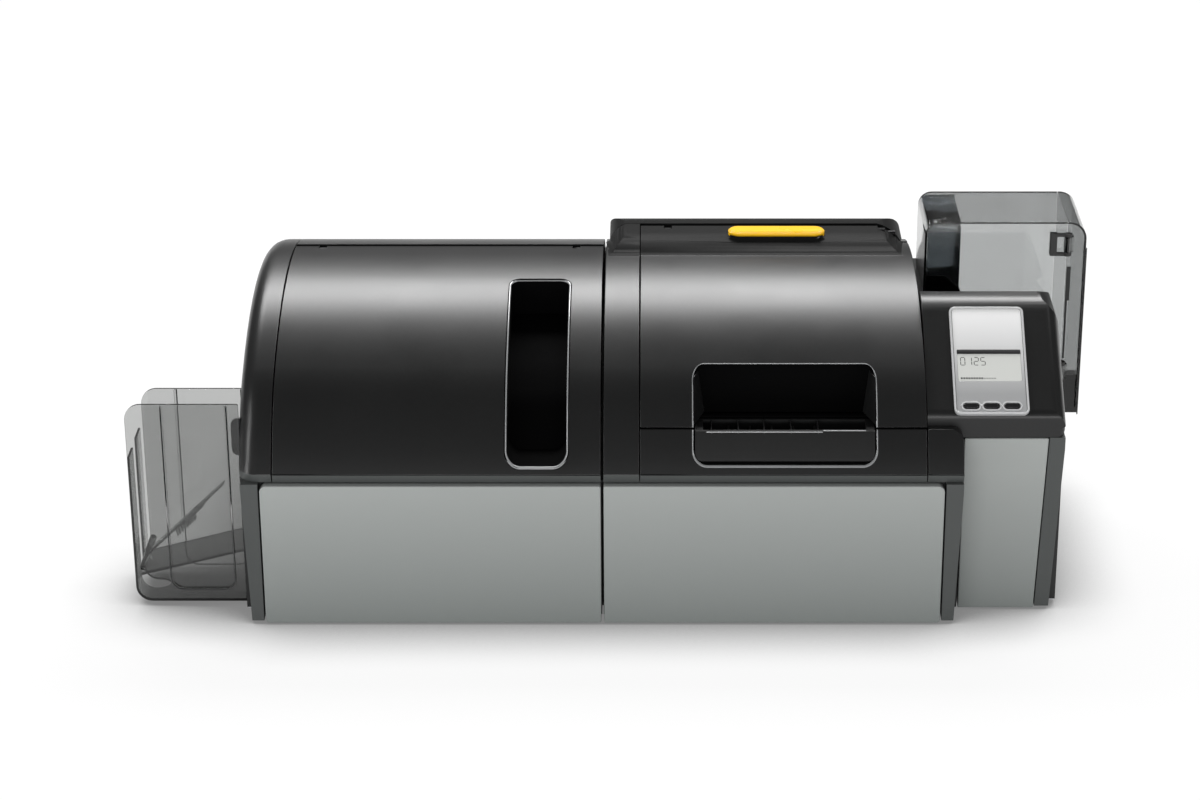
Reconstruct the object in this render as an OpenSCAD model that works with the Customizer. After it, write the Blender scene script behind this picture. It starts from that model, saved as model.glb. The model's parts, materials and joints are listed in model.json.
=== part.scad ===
// Card printer with a laminator module, a card feeder and a card bin.
// Millimetres, +Z up, front towards -Y. The origin is the middle of the footprint, on the table.

/* [Body] */
// Depth of the two modules, front panels to rear face
body_depth = 500; // [460:5:540]
// Height of the rubber feet
foot_h = 4; // [3:0.5:8]
// Radius of a rubber foot
foot_r = 11; // [8:0.5:14]
// Height at which the lower bodies end and the covers start
deck_z = 152; // [146:1:156]
// Width of the printer's gray front panel
panel_w = 330.2; // [300:0.1:350]
// Height of a front panel's lower edge above the table
panel_low = 2; // [1:0.5:6]
// Depth of the front panels, with their folded edges
panel_d = 12; // [8:0.5:16]
// Wall thickness of the front panels
panel_wall = 2.5; // [1.5:0.1:3.5]
// Radius of the front panels' outer upper corner
panel_corner = 7; // [3:0.5:10]
// Half of the gap between the two modules
seam = 1.4; // [0.8:0.1:2]
// Wall thickness of the lower bodies
base_wall = 4; // [3:0.5:6]
// Gap between a lower body and the covers that stand on it
deck_gap = 0.3; // [0.1:0.05:0.5]
// Thickness of the steel base plates
plate_t = 1.5; // [1:0.1:2.5]

/* [Side frames] */
// Gap between a front panel and the frame beside it
frame_gap = 1.5; // [0.8:0.1:2.5]
// Width of a side frame at its foot
frame_w = 12; // [8:0.5:14]
// How much wider a side frame is at its top
frame_flare = 5; // [2:0.5:7]
// Depth of a side frame, front to back
frame_d = 27; // [18:1:32]
// How far the laminator's side stands out from its frame's foot
side_step = 8; // [6:0.5:12]

/* [Cover profile] */
// Height of the covers' highest line
crown_z = 293; // [285:1:300]
// Radius of the covers' top
crown_r = 330; // [315:5:360]
// Radius of the bend between top and front
shoulder_r = 120; // [100:5:140]
// Radius of the covers' front
front_r = 300; // [280:5:330]
// Angle from upright at which the bend starts
shoulder_from = 31; // [29:0.5:33]
// Angle from upright at which the bend ends
shoulder_to = 52; // [50:0.5:54]
// Height of the slanted lip under each cover
lip_h = 9; // [6:0.5:11]
// How far the lip slants inwards
lip_in = 3; // [1:0.5:5]
// How far the lip's upper edge lies behind the front panels
lip_back = 2.7; // [1.5:0.1:4]
// Wall thickness of the covers
cover_wall = 3; // [2:0.25:4]
// Depth of the rib round the inside of a cover's ends
cover_rib = 14; // [8:1:18]

/* [Printer] */
// Width of the fixed strip at the printer's left end
strip_w = 34.5; // [30:0.5:45]
// Gap round the opening covers
cover_gap = 1; // [0.6:0.1:1.5]
// Width of the printer's main cover
main_w = 277.3; // [265:0.5:290]
// Height of the seam under the main cover
main_low = 200; // [190:1:206]
// Height of the raised hump at the rear of the printer
hump_z = 304; // [300:1:312]
// Radius of the hump's front edge
hump_front_r = 60; // [40:1:70]
// Radius of the hump's fall to the rear
hump_rear_r = 120; // [100:5:140]
// Radius of the hump's left end, seen from the front
hump_left_r = 25; // [15:1:30]
// Radius of the hump's right end, seen from the front
hump_right_r = 40; // [20:1:45]
// Distance of the covers' hinge from the front panels
main_hinge_y = 308; // [300:1:315]

/* [Hinges] */
// Outer radius of a cover's hinge barrel
barrel_r = 8; // [6.5:0.5:9]
// Radius of a hinge pin
hinge_pin_r = 3; // [2:0.25:4]
// Width of a hinge ear
ear_w = 7; // [5:0.5:10]
// Distance of a hinge ear from the cover's end
ear_inset = 28; // [20:1:60]
// Radial clearance of a turning pin or shaft in its hole
running = 0.05; // [0.02:0.01:0.1]

/* [Main cover recess] */
// Width of the hand recess in the printer's front
recess_w = 176; // [150:1:190]
// Distance of the recess from the main cover's left end
recess_x = 52; // [40:1:70]
// Height of the recess's upper edge
recess_top = 247; // [238:1:252]
// Distance of the recess's back wall from the front, at its foot
recess_back = 58; // [50:1:62]
// Radius of the recess's upper corners
recess_r = 10; // [5:1:14]
// Wall thickness of the recess
recess_wall = 2.5; // [2:0.25:3.5]
// Height of the reject bin's lower edge
reject_low = 170; // [166:1:176]
// Radius of the reject bin's lower corners
reject_r = 13; // [6:1:16]
// Number of ribs across the reject bin
reject_ribs = 5; // [2:1:8]
// Length of the yellow release button
release_len = 99; // [80:1:110]
// Width of the yellow release button
release_w = 22; // [14:1:24]
// How far the yellow release button stands proud
release_proud = 5; // [3.5:0.5:6]
// Travel of the yellow release button
release_travel = 3; // [2:0.5:3.5]

/* [Laminator] */
// Width of the laminator's cover
lam_cover_w = 317.4; // [310:0.2:322]
// Width of the laminator's rounded end
cap_w = 34.3; // [30:0.1:44]
// Radius of the rounding at the laminator's outer end
cap_round = 20; // [10:1:24]
// Distance of the laminator cover's hinge from the crown line, to the rear
lam_hinge_back = 50; // [40:1:60]
// Width of the grip recess in the laminator's cover
grip_w = 58; // [40:1:70]
// Distance of the grip recess from the module seam
grip_x = 33; // [24:1:50]
// Height of the grip recess's lower end
grip_low = 168; // [164:1:180]
// Distance of the grip recess's upper end from the front
grip_far = 192; // [150:1:200]
// Depth of the grip recess
grip_depth = 36; // [20:1:37]
// Gap round the grip's cup in the laminator's cover
cup_fit = 0.04; // [0.02:0.01:0.1]
// Radius of the grip recess's lower corners
grip_low_r = 14; // [6:1:20]
// Radius of the grip recess's upper corners
grip_top_r = 10; // [5:1:16]

/* [Feeder tower] */
// Distance of the tower's front from the front panels
tower_y = 34; // [30:1:40]
// Width of the tower beside the printer
tower_w = 99; // [90:0.5:110]
// Height of the tower's top edge
tower_top = 289; // [280:1:296]
// Height at which the tower's sloping face starts
slope_low = 210; // [204:1:216]
// Angle of the tower's sloping face
slope_a = 36.4; // [34:0.2:40]
// Height of the tower's gray panel
tower_panel_top = 186; // [170:1:190]
// Width of the tower's gray panel at its foot
tower_panel_w = 75; // [66:0.5:80]
// How much wider the tower's panel is at its top
tower_panel_flare = 7; // [3:0.5:8]
// Distance of the top edge of the tower from its front
tower_ridge = 128; // [118:1:140]
// Radius of the tower's upper right corner
tower_edge_r = 26; // [4:1:30]
// Height of the rear housing behind the feeder tower
low_rear_z = 212; // [190:1:214]
// Radius of the edge between the tower's slope and its right side
tower_side_r = 14; // [4:1:18]

/* [Control panel] */
// Width of the silver bezel
bezel_w = 73; // [66:0.5:80]
// Length of the silver bezel along the slope
bezel_len = 122; // [110:1:124]
// How far the bezel stands proud
bezel_proud = 1.2; // [0.6:0.1:2]
// Radius of the bezel's corners
bezel_r = 6; // [3:0.5:9]
// Distance of the bezel from the tower's left side
bezel_x = 26; // [20:0.5:30]
// Height of the display window along the slope
lcd_h = 30; // [24:0.5:36]
// Width of the display window
lcd_w = 62.5; // [52:0.5:66]
// Distance of the display window from the bezel's lower end
lcd_s = 39; // [34:0.5:44]
// Length of an oval button
key_len = 15; // [11:0.5:17]
// Width of an oval button
key_w = 6; // [4:0.5:8]
// Distance between the oval buttons
key_pitch = 19.9; // [18:0.1:22]
// Travel of an oval button
key_travel = 1.2; // [0.6:0.1:1.5]
// How far an oval button stands proud of the bezel
key_proud = 1.6; // [1.2:0.1:2]

/* [Card hopper] */
// Width of the clear hopper
hopper_w = 164; // [150:1:175]
// Depth of the clear hopper
hopper_d = 93; // [70:1:96]
// Height of the hopper's top above the table
hopper_top = 334; // [315:1:340]
// Height of the hopper's floor above the table
hopper_low = 124; // [110:1:140]
// Distance of the hopper's front from the front panels
hopper_y = 238; // [236:1:245]
// Wall thickness of the clear hopper
hopper_wall = 2.2; // [1.6:0.1:3]
// Width of the hopper's door
door_w = 19.5; // [14:0.5:26]
// Radius of the hopper's left upper edge
hopper_left_r = 14; // [8:1:18]
// Radius of the hopper's right upper edge
hopper_right_r = 18; // [8:1:19]
// Distance of the hopper from the tower's left side
hopper_x = 10; // [8:0.5:16]
// Width of the black card guide in the hopper
guide_w = 33; // [24:1:36]
// Height of the card guide behind its front post
guide_low = 252; // [240:1:256]
// Height of the card guide's front post
guide_top = 275.5; // [262:0.5:290]
// Travel of the card weight
weight_travel = 96; // [80:2:98]

/* [Card bin] */
// Width of the clear card bin
bin_w = 111; // [100:1:125]
// Depth of the clear card bin
bin_d = 74; // [66:1:84]
// Distance of the bin from the front panels
bin_y = 40; // [32:1:46]
// Height of the bin's floor above the table
bin_low = 6; // [4:0.5:20]
// Height of the bin's front wall above the table
bin_top = 219; // [205:1:225]
// How much lower the bin's rear wall is
bin_rear_drop = 14; // [0:1:20]
// Height of the bin's end wall above the table
bin_end_top = 162; // [150:1:170]
// Wall thickness of the card bin
bin_wall = 2.2; // [1.6:0.1:3]
// Radius of the bin's corners
bin_r = 16; // [8:1:20]
// Height of the bin's ramp at its outer end
ramp_low = 35; // [30:1:50]
// Slope of the bin's ramp
ramp_a = 14.5; // [8:0.5:18]
// Distance of the ramp's front edge from the bin's front
ramp_in = 20; // [6:1:30]
// Thickness of the ramp
ramp_t = 3; // [2:0.25:4]
// Length of the card arm
arm_len = 111; // [90:1:112]
// Angle of the card arm above level
arm_a = 44; // [43:1:50]
// Width of the card arm
arm_w = 9; // [6:0.5:20]
// Number of spring tines under the card arm
arm_tines = 8; // [4:1:10]

/* [Mechanism] */
// Middle of the card path, from the front panels
path_y = 150; // [146:1:154]
// Height of the card path above the deck
path_up = 18; // [17.6:0.1:20]
// Length of the rollers and spools
roll_len = 64; // [56:1:66]
// Radius of a transport roller
feed_r = 8; // [6:0.25:8.5]
// Radius of a heated roller
heat_r = 12; // [9:0.5:13]
// Radius of a roller's shaft
shaft_r = 4; // [3:0.25:5]
// Radius of a wound spool in the printer
spool_r = 29; // [22:0.5:30]
// Distance between the printer's spools
spool_pitch = 68; // [64:0.5:70]
// Radius of a wound spool in the laminator
lam_spool_r = 32; // [24:0.5:33]
// Height of the spools' middle above the deck
spool_up = 77; // [74:0.5:79]
// Radius of a spool's spindle
spindle_r = 8; // [6:0.5:10]
// Thickness of the mechanism plates
mech_t = 3; // [2:0.25:4]

/* [Hidden] */

eps = 0.01;
big = 900;
black = [0.07, 0.07, 0.075];
dark_gray = [0.24, 0.25, 0.25];
panel_gray = [0.53, 0.55, 0.54];
smoke = [0.55, 0.57, 0.58, 0.4];
steel = [0.72, 0.73, 0.75];

// Outlines along X, from the seam between the modules (x = 0)
panel_out = seam + panel_w;
frame_in = panel_out + frame_gap;
printer_right = frame_in + frame_w + frame_flare;
lam_cover_left = -(seam + lam_cover_w);
laminator_left = lam_cover_left - cap_w;
lam_frame_in = -(laminator_left + side_step + frame_w);
lam_panel_out = lam_frame_in - frame_gap;
strip_left = seam;
main_left = strip_left + strip_w + cover_gap;
main_right = main_left + main_w;
tower_left = main_right + cover_gap;
tower_lower_left = printer_right + cover_gap;
tower_right = tower_lower_left + tower_w;
hopper_left = tower_left + hopper_x;
hopper_right = hopper_left + hopper_w;
door_left = hopper_right - door_w;
bin_left = laminator_left - bin_w;

// Top of the lower bodies
deck = deck_z - deck_gap;

// The part's own frame has its origin under the middle of its box
mid_x = (bin_left + hopper_right) / 2;
mid_y = body_depth / 2;

// Cover profile: three arcs, each tangent to the next, ending at the lip
lip_top = deck_z + lip_h;
crown_cz = crown_z - crown_r;
shoulder_cz = crown_cz + (crown_r - shoulder_r) * cos(shoulder_from);
front_cz = shoulder_cz - (front_r - shoulder_r) * cos(shoulder_to);
lip_a = acos((lip_top - front_cz) / front_r);
front_cy = lip_back + front_r * sin(lip_a);
shoulder_cy = front_cy - (front_r - shoulder_r) * sin(shoulder_to);
crown_cy = shoulder_cy + (crown_r - shoulder_r) * sin(shoulder_from);

// Rear of the covers: at the lower bodies' rear face, or where the top has come down
// to the rear's least height
rear_rise = 8;
cover_rear = min(body_depth, crown_cy + sqrt(pow(crown_r, 2) - pow(deck_z + rear_rise - crown_cz, 2)));

// Heights of the profile over a place, and the front face at a height
function crown_height(y, inset = 0) = crown_cz + sqrt(pow(crown_r - inset, 2) - pow(y - crown_cy, 2));
function front_at(z, inset = 0) = front_cy - sqrt(pow(front_r - inset, 2) - pow(z - front_cz, 2));

// Hump
hump_left = strip_left + 3;
hump_right = main_right - 2;
hump_front_cy = main_hinge_y - 18;
hump_rear_cy = main_hinge_y + 2;

// Hinges
main_hinge_z = hump_z - barrel_r;
lam_hinge_a = asin(lam_hinge_back / crown_r);
lam_hinge_y = crown_cy + (crown_r - barrel_r) * sin(lam_hinge_a);
lam_hinge_z = crown_cz + (crown_r - barrel_r) * cos(lam_hinge_a);
rear_gap = 1;
printer_rear_y = main_hinge_y + barrel_r + rear_gap;
lam_rear_y = lam_hinge_y + barrel_r + rear_gap;
ear_r = barrel_r - 2;
pin_reach = 11;

// Feeder tower
tower_rear = hopper_y + hopper_d + 4;
tower_split = hopper_y - 3;
slope_y = tower_y - 2;
tower_ridge_y = tower_y + tower_ridge;
ridge_fall = 32;
bezel_left = tower_left + bezel_x;
lcd_left = bezel_left + (bezel_w - lcd_w) / 2;
key_s = 11;
bezel_s = 2;

// Mechanism
path_z = deck_z + path_up;
card_gap = 0.6;
roll_front = path_y - roll_len / 2;
roll_back = path_y + roll_len / 2;
rail_y = roll_front - 10;
back_y = roll_back + 8;
low_roll_z = path_z - card_gap - feed_r;
heat_z = path_z + card_gap + heat_r;
spool_z = deck_z + spool_up;
mech_left = main_left + 6;
mech_right = main_right - 6;
spool_x0 = main_left + 38;
head_x = spool_x0 + spool_pitch / 2;
transfer_x = spool_x0 + 2.5 * spool_pitch;
infeed_x = mech_right - 16;
lam_mech_left = lam_cover_left + 6;
lam_mech_right = -(seam + 6);
lam_spool_x0 = lam_cover_left + 49;
lam_spool_pitch = 2 * lam_spool_r + 16;
lam_heat_x = lam_spool_x0 + lam_spool_pitch / 2;
lam_roll_x = [lam_mech_left + 14, lam_heat_x, lam_mech_right - 30];

// ---------------------------------------------------------------- shared shapes

module place() translate([-mid_x, -mid_y, 0]) children();

// A YZ outline drawn as (y, z), extruded along X
module along_x(x0, x1) translate([x0, 0, 0]) rotate([90, 0, 90]) linear_extrude(x1 - x0) children();

// An XZ outline drawn as (x, z), extruded along Y
module along_y(y0, y1) translate([0, y1, 0]) rotate([90, 0, 0]) linear_extrude(y1 - y0) children();

module disc(cy, cz, r) translate([cy, cz]) circle(r, $fn = 180);

module rod_x(x0, x1, y, z, r) along_x(x0, x1) translate([y, z]) circle(r, $fn = 48);

module rod_y(y0, y1, x, z, r) along_y(y0, y1) translate([x, z]) circle(r, $fn = 48);

module rod_z(z0, z1, x, y, r) translate([x, y, z0]) cylinder(z1 - z0, r, r, $fn = 48);

module block(x0, x1, y0, y1, z0, z1) translate([x0, y0, z0]) cube([x1 - x0, y1 - y0, z1 - z0]);

// A rectangle with its own radius at each corner: lower left, lower right, upper right, upper left
module soft_rect(x0, x1, z0, z1, r = [0, 0, 0, 0]) {
    corners = [[x0, z0, 1, 1], [x1, z0, -1, 1], [x1, z1, -1, -1], [x0, z1, 1, -1]];
    difference() {
        translate([x0, z0]) square([x1 - x0, z1 - z0]);
        for (i = [0:3]) if (r[i] > 0) corner_cut(corners[i], r[i]);
    }
}

module corner_cut(c, r) translate([c[0], c[1]]) scale([c[2], c[3]]) difference() {
    translate([-1, -1]) square(r + 1);
    translate([r, r]) circle(r, $fn = 64);
}

// A straight slot outline with round ends
module oval(len, w) {
    square([len - w, w], center = true);
    for (s = [-1, 1]) translate([s * (len - w) / 2, 0]) circle(w / 2, $fn = 48);
}

// The covers' side outline, set in by a distance
module body_section(inset = 0, low = lip_top, rear = body_depth) difference() {
    intersection() {
        disc(crown_cy, crown_cz, crown_r - inset);
        disc(front_cy, front_cz, front_r - inset);
    }
    difference() {
        polygon([
            [shoulder_cy, shoulder_cz],
            [shoulder_cy - big * sin(shoulder_from), shoulder_cz + big * cos(shoulder_from)],
            [shoulder_cy - big * sin(shoulder_to), shoulder_cz + big * cos(shoulder_to)]
        ]);
        disc(shoulder_cy, shoulder_cz, shoulder_r - inset);
    }
    translate([-big / 2, low - big]) square([2 * big, big]);
    translate([rear, -big / 2]) square(big);
}

// The slanted lip, as far back as depth
module lip_section(depth) polygon([
    [lip_back, lip_top], [lip_back + lip_in, deck_z], [depth, deck_z], [depth, lip_top]
]);

// The raised hump's side outline, set in by a distance
module hump_section(inset = 0) difference() {
    union() {
        disc(hump_front_cy, hump_z - hump_front_r, hump_front_r - inset);
        translate([hump_front_cy, hump_z - 60]) square([hump_rear_cy - hump_front_cy, 60 - inset]);
        disc(hump_rear_cy, hump_z - hump_rear_r, hump_rear_r - inset);
    }
    translate([0, 0]) square([big, crown_z - 60]);
    translate([0, -big]) square([big, big + crown_z - 60]);
}

module hump(x0, x1, inset = 0) intersection() {
    along_x(x0, x1) hump_section(inset);
    along_y(0, body_depth) soft_rect(hump_left + inset, hump_right - inset, crown_z - 80, hump_z + 1,
        [0, 0, hump_right_r, hump_left_r]);
}

// Hinge ears that reach forward from a rear housing to a cover's hinge line
module hinge_ears(x_list, hy, hz, rear_y) for (x = x_list) difference() {
    along_x(x - ear_w / 2, x + ear_w / 2) {
        disc(hy, hz, ear_r);
        translate([hy, hz - ear_r]) square([rear_y - hy, 2 * ear_r - 3]);
    }
    rod_x(x - ear_w, x + ear_w, hy, hz, hinge_pin_r);
}

// What a cover's barrel leaves out for an ear
module ear_slots(x_list, hy, hz) for (x = x_list)
    block(x - ear_w / 2 - 0.6, x + ear_w / 2 + 0.6, hy - barrel_r - 1.5, hy + barrel_r + 5,
        hz - barrel_r - 1, hz + barrel_r + 3);

module hinge_bores(x_list, hy, hz) for (x = x_list)
    rod_x(x - ear_w / 2 - pin_reach - 1, x + ear_w / 2 + pin_reach + 1, hy, hz, hinge_pin_r + running);

module pins_at(x_list, hy, hz) for (x = x_list)
    rod_x(x - ear_w / 2 - pin_reach, x + ear_w / 2 + pin_reach, hy, hz, hinge_pin_r);

main_ears = [main_left + ear_inset, main_right - ear_inset];
lam_ears = [lam_cover_left + ear_inset, -(seam + ear_inset)];

// ---------------------------------------------------------------- lower bodies

// A lower body, open below, with its front corner left out for the side frame
module lower_body(x0, x1, front0, front1, split) difference() {
    union() {
        block(x0, split, front0, body_depth, foot_h + plate_t, deck);
        block(split, x1, front1, body_depth, foot_h + plate_t, deck);
    }
    block(x0 + base_wall, x1 - base_wall, max(front0, front1) + base_wall, body_depth - base_wall,
        -1, deck - base_wall);
}

vent_count = 9;
vent_pitch = 11;

vent_len = 90;
vent_w = 4.5;
vent_low = 48;

module vents(x0) for (i = [0 : vent_count - 1]) translate([x0, body_depth + 1, vent_low + i * vent_pitch])
    rotate([90, 0, 0]) linear_extrude(base_wall + 2) oval(vent_len, vent_w);

conn_left = 60;
conn_w = 128;
conn_low = 30;
conn_h = 46;

module printer_base() color(black) difference() {
    lower_body(seam / 2, printer_right, panel_d, frame_d + 1, frame_in - 0.5);
    vents(printer_right - vent_len);
    block(conn_left, conn_left + conn_w, body_depth - base_wall - 1, body_depth + 1,
        conn_low, conn_low + conn_h);
}

module laminator_base() color(black) difference() {
    lower_body(laminator_left, -seam / 2, frame_d + 1, panel_d, -lam_frame_in + 0.5);
    vents(laminator_left / 2);
}

// Steel plates that close the three lower bodies, joined by straps, with a hole for each foot's stem
strap_y = [[120, 170], [290, 330]];

module base_plates() color(steel) difference() {
    union() {
        block(laminator_left + 0.5, -seam, frame_d + 2, body_depth - 1, foot_h, foot_h + plate_t);
        block(seam, printer_right - 0.5, frame_d + 2, body_depth - 1, foot_h, foot_h + plate_t);
        block(tower_lower_left + 0.5, tower_right - 0.5, tower_y + panel_d + 1, tower_rear - 0.5,
            foot_h, foot_h + plate_t);
        for (y = strap_y) {
            block(-40, 40, y[0], y[1], foot_h, foot_h + plate_t);
            block(printer_right - 40, tower_lower_left + 40, y[0], y[1], foot_h, foot_h + plate_t);
        }
    }
    for (p = concat(printer_feet, laminator_feet, tower_feet)) rod_z(0, 20, p[0], p[1], stem_r + 0.1);
}

stem_r = 3;
foot_in = 26;
printer_feet = [for (x = [foot_in, printer_right - foot_in], y = [60, body_depth - 40]) [x, y]];
laminator_feet = [for (x = [laminator_left + foot_in, -foot_in], y = [60, body_depth - 40]) [x, y]];
tower_feet = [for (y = [tower_y + 26, tower_rear - 24]) [(tower_lower_left + tower_right) / 2, y]];

module feet() color([0.1, 0.1, 0.1]) for (p = concat(printer_feet, laminator_feet, tower_feet)) {
    rod_z(0, foot_h, p[0], p[1], foot_r);
    rod_z(foot_h - eps, foot_h + plate_t + 2, p[0], p[1], stem_r);
}

// ---------------------------------------------------------------- front panels and frames

panel_top = deck_z - 2;

// Folded front panel: corner radii as soft_rect takes them
module folded_panel(x0, x1, y0, z0, z1, r) color(panel_gray) difference() {
    along_y(y0, y0 + panel_d) soft_rect(x0, x1, z0, z1, r);
    along_y(y0 + panel_wall, y0 + panel_d + 1)
        soft_rect(x0 + panel_wall, x1 - panel_wall, z0 + panel_wall, z1 - panel_wall, r * 0.6);
}

module printer_panel() folded_panel(seam, panel_out, 0, panel_low, panel_top, [2, 3, panel_corner, 2]);

module laminator_panel()
    folded_panel(-lam_panel_out, -seam, 0, panel_low, panel_top, [3, 2, 2, panel_corner]);

// Upright beside a panel, wider at its top
module upright(inner, side) polygon([
    [inner, foot_h], [inner + side * frame_w, foot_h],
    [inner + side * (frame_w + frame_flare), deck - 11],
    [inner + side * (frame_w + frame_flare), deck], [inner, deck]
]);

module printer_frame() color(dark_gray) along_y(1, frame_d + 1) upright(frame_in, 1);

module laminator_frame() color(dark_gray) along_y(1, frame_d + 1) upright(-lam_frame_in, -1);

// ---------------------------------------------------------------- laminator

module cover_shell(x0, x1, low, rear, hy, hz) {
    difference() {
        along_x(x0, x1) body_section(0, low, rear);
        along_x(x0 + cover_wall, x1 - cover_wall) body_section(cover_wall, low - 20, rear + 20);
        along_x(x0 - 1, x1 + 1) body_section(cover_rib, low - 20, rear + 20);
        along_x(x0 - 1, x1 + 1) translate([hy - barrel_r, hz - 60]) square([60, 60]);
    }
}

// Where the grip recess turns from the front to the top
grip_turn = grip_far / 2;
grip_turn_z = crown_height(grip_turn) - grip_depth / 2;

// Space of the grip recess: round ends below, in front view, and above, in plan
module grip_space(grow, depth) intersection() {
    union() {
        along_y(-grip_depth, grip_turn) soft_rect(-(seam + grip_x + grip_w) - grow, -(seam + grip_x) + grow,
            grip_low - grow, grip_turn_z, [grip_low_r + grow, grip_low_r + grow, 0, 0]);
        translate([0, 0, grip_turn_z - grip_depth]) linear_extrude(crown_z)
            soft_rect(-(seam + grip_x + grip_w) - grow, -(seam + grip_x) + grow,
                grip_turn - 2 * grip_depth, grip_far + grow, [0, 0, grip_top_r + grow, grip_top_r + grow]);
    }
    difference() {
        along_x(lam_cover_left, 0) body_section(-6, grip_low - 30, grip_far + 40);
        along_x(lam_cover_left - 1, 1) body_section(depth, grip_low - 40, grip_far + 60);
    }
}

module laminator_cover() color(black) difference() {
    union() {
        cover_shell(lam_cover_left, -seam, lip_top - eps, lam_hinge_y, lam_hinge_y, lam_hinge_z);
        along_x(lam_cover_left, -seam) lip_section(lip_back + 9);
        rod_x(lam_cover_left, -seam, lam_hinge_y, lam_hinge_z, barrel_r);
    }
    grip_space(recess_wall + cup_fit, grip_depth);
    ear_slots(lam_ears, lam_hinge_y, lam_hinge_z);
    hinge_bores(lam_ears, lam_hinge_y, lam_hinge_z);
}

// Moulded cup of the grip recess, set into the laminator's cover
module grip_cup() color(black) difference() {
    intersection() {
        grip_space(recess_wall, grip_depth + recess_wall);
        along_x(lam_cover_left, -seam) body_section(0, lip_top, lam_hinge_y);
    }
    grip_space(0, grip_depth);
}

// Points of the body's outline for the rounded end, set in by a distance
cap_rear = cover_rear;
function arc(cy, cz, r, a0, a1, n) =
    [for (i = [0:n]) let (a = a0 + (a1 - a0) * i / n) [cy - r * sin(a), cz + r * cos(a)]];
function cap_outline(inset) = concat(
    arc(crown_cy, crown_cz, crown_r - inset, -asin((cap_rear - crown_cy - inset) / (crown_r - inset)),
        shoulder_from, 16),
    arc(shoulder_cy, shoulder_cz, shoulder_r - inset, shoulder_from, shoulder_to, 4),
    arc(front_cy, front_cz, front_r - inset, shoulder_to,
        acos((lip_top - front_cz) / (front_r - inset)), 4),
    [[lip_back + lip_in + inset, deck_z], [cap_rear - inset, deck_z]]);

cap_steps = 6;

// Duct that carries finished cards through the end cap to the bin
exit_low = path_z - 8;
exit_h = 34;
exit_w = roll_len - 4;

module exit_duct() translate([0, 0, exit_low]) linear_extrude(exit_h) polygon([
    [laminator_left - 5, bin_y + 6], [laminator_left - 5, bin_y + 6 + exit_w],
    [lam_cover_left + 5, path_y + exit_w / 2], [lam_cover_left + 5, path_y - exit_w / 2]
]);

// Round-ended guide that stands out beside the duct's mouth, behind the bin's front wall
exit_guide_w = 8.4;
exit_guide_t = 3;

module laminator_end_cap() color(black) {
    difference() {
        cap_solid();
        exit_duct();
    }
    along_y(bin_y + bin_wall + 0.6, bin_y + bin_wall + 0.6 + exit_guide_t)
        soft_rect(laminator_left - exit_guide_w, laminator_left + cap_round / 2,
            exit_low + 2, exit_low + exit_h + 7, [7, 0, 0, 7]);
}

// The rounding turns from the outer side (full inset) to the body's own outline
module cap_solid() hull() {
    for (i = [0 : cap_steps]) let (a = 90 * i / cap_steps, x = laminator_left + cap_round * (1 - cos(a)))
        along_x(x, x + 0.05) polygon(cap_outline(cap_round * (1 - sin(a))));
    along_x(lam_cover_left - cover_gap - 0.05, lam_cover_left - cover_gap) polygon(cap_outline(0));
}

module rear_shell(x0, x1, y0) difference() {
    along_x(x0, x1) intersection() {
        union() {
            body_section(0, deck_z, body_depth);
            translate([y0, deck_z]) square([body_depth - y0, 1]);
        }
        translate([y0, deck_z]) square([body_depth - y0, big]);
    }
    along_x(x0 + cover_wall, x1 - cover_wall) intersection() {
        body_section(cover_wall, deck_z - 10, body_depth - cover_wall);
        translate([y0 + cover_wall, 0]) square([body_depth - y0 - 2 * cover_wall, big]);
    }
}

module laminator_rear_housing() color(black) {
    rear_shell(lam_cover_left, -seam, lam_rear_y);
    hinge_ears(lam_ears, lam_hinge_y, lam_hinge_z, lam_rear_y + 1);
}

// ---------------------------------------------------------------- printer covers

module printer_strip() color(black) difference() {
    union() {
        along_x(strip_left, strip_left + strip_w) difference() {
            body_section(0, deck_z, printer_rear_y - rear_gap);
            polygon([
                [-big, lip_top], [lip_back, lip_top], [lip_back + lip_in, deck_z],
                [lip_back + lip_in, deck_z - 1], [-big, deck_z - 1]
            ]);
        }
        intersection() {
            hump(strip_left, strip_left + strip_w);
            block(0, big, 0, printer_rear_y - rear_gap, crown_z - 60, big);
        }
    }
    block(strip_left - 1, strip_left + strip_w + 1, roll_front, roll_back, path_z - 5, path_z + 7);
}

// Low part of the rear housing, behind the feeder tower and below the hopper
module low_rear_shell() {
    x0 = main_right - 2 * cover_wall;
    y0 = tower_rear + 2;
    intersection() {
        rear_shell(x0, printer_right, y0);
        block(0, big, 0, big, 0, low_rear_z);
    }
    along_x(x0, printer_right) intersection() {
        body_section(0, deck_z, body_depth);
        translate([y0, low_rear_z - cover_wall]) square([big, cover_wall]);
    }
}

module printer_rear_housing() color(black) {
    difference() {
        union() {
            rear_shell(strip_left, main_right, printer_rear_y);
            low_rear_shell();
            intersection() {
                hump(strip_left, main_right);
                block(0, big, printer_rear_y, body_depth, crown_z - 50, big);
            }
        }
        intersection() {
            hump(strip_left, main_right, cover_wall);
            block(0, big, printer_rear_y + cover_wall, body_depth - cover_wall, 0, big);
        }
    }
    hinge_ears(main_ears, main_hinge_y, main_hinge_z, printer_rear_y + 1);
}

recess_left = main_left + recess_x;
recess_right = recess_left + recess_w;

// Side outline of the hand recess: the back wall leans back, then stands up to the brow
module recess_outline(grow) polygon([
    [-40, main_low - 12], [recess_back + grow, main_low - 12],
    [recess_back + 16 + grow, recess_top - 19], [recess_back + 20.5 + grow, recess_top + grow],
    [recess_back - 20, recess_top + 9 + grow], [-40, recess_top + 9 + grow]
]);

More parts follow.
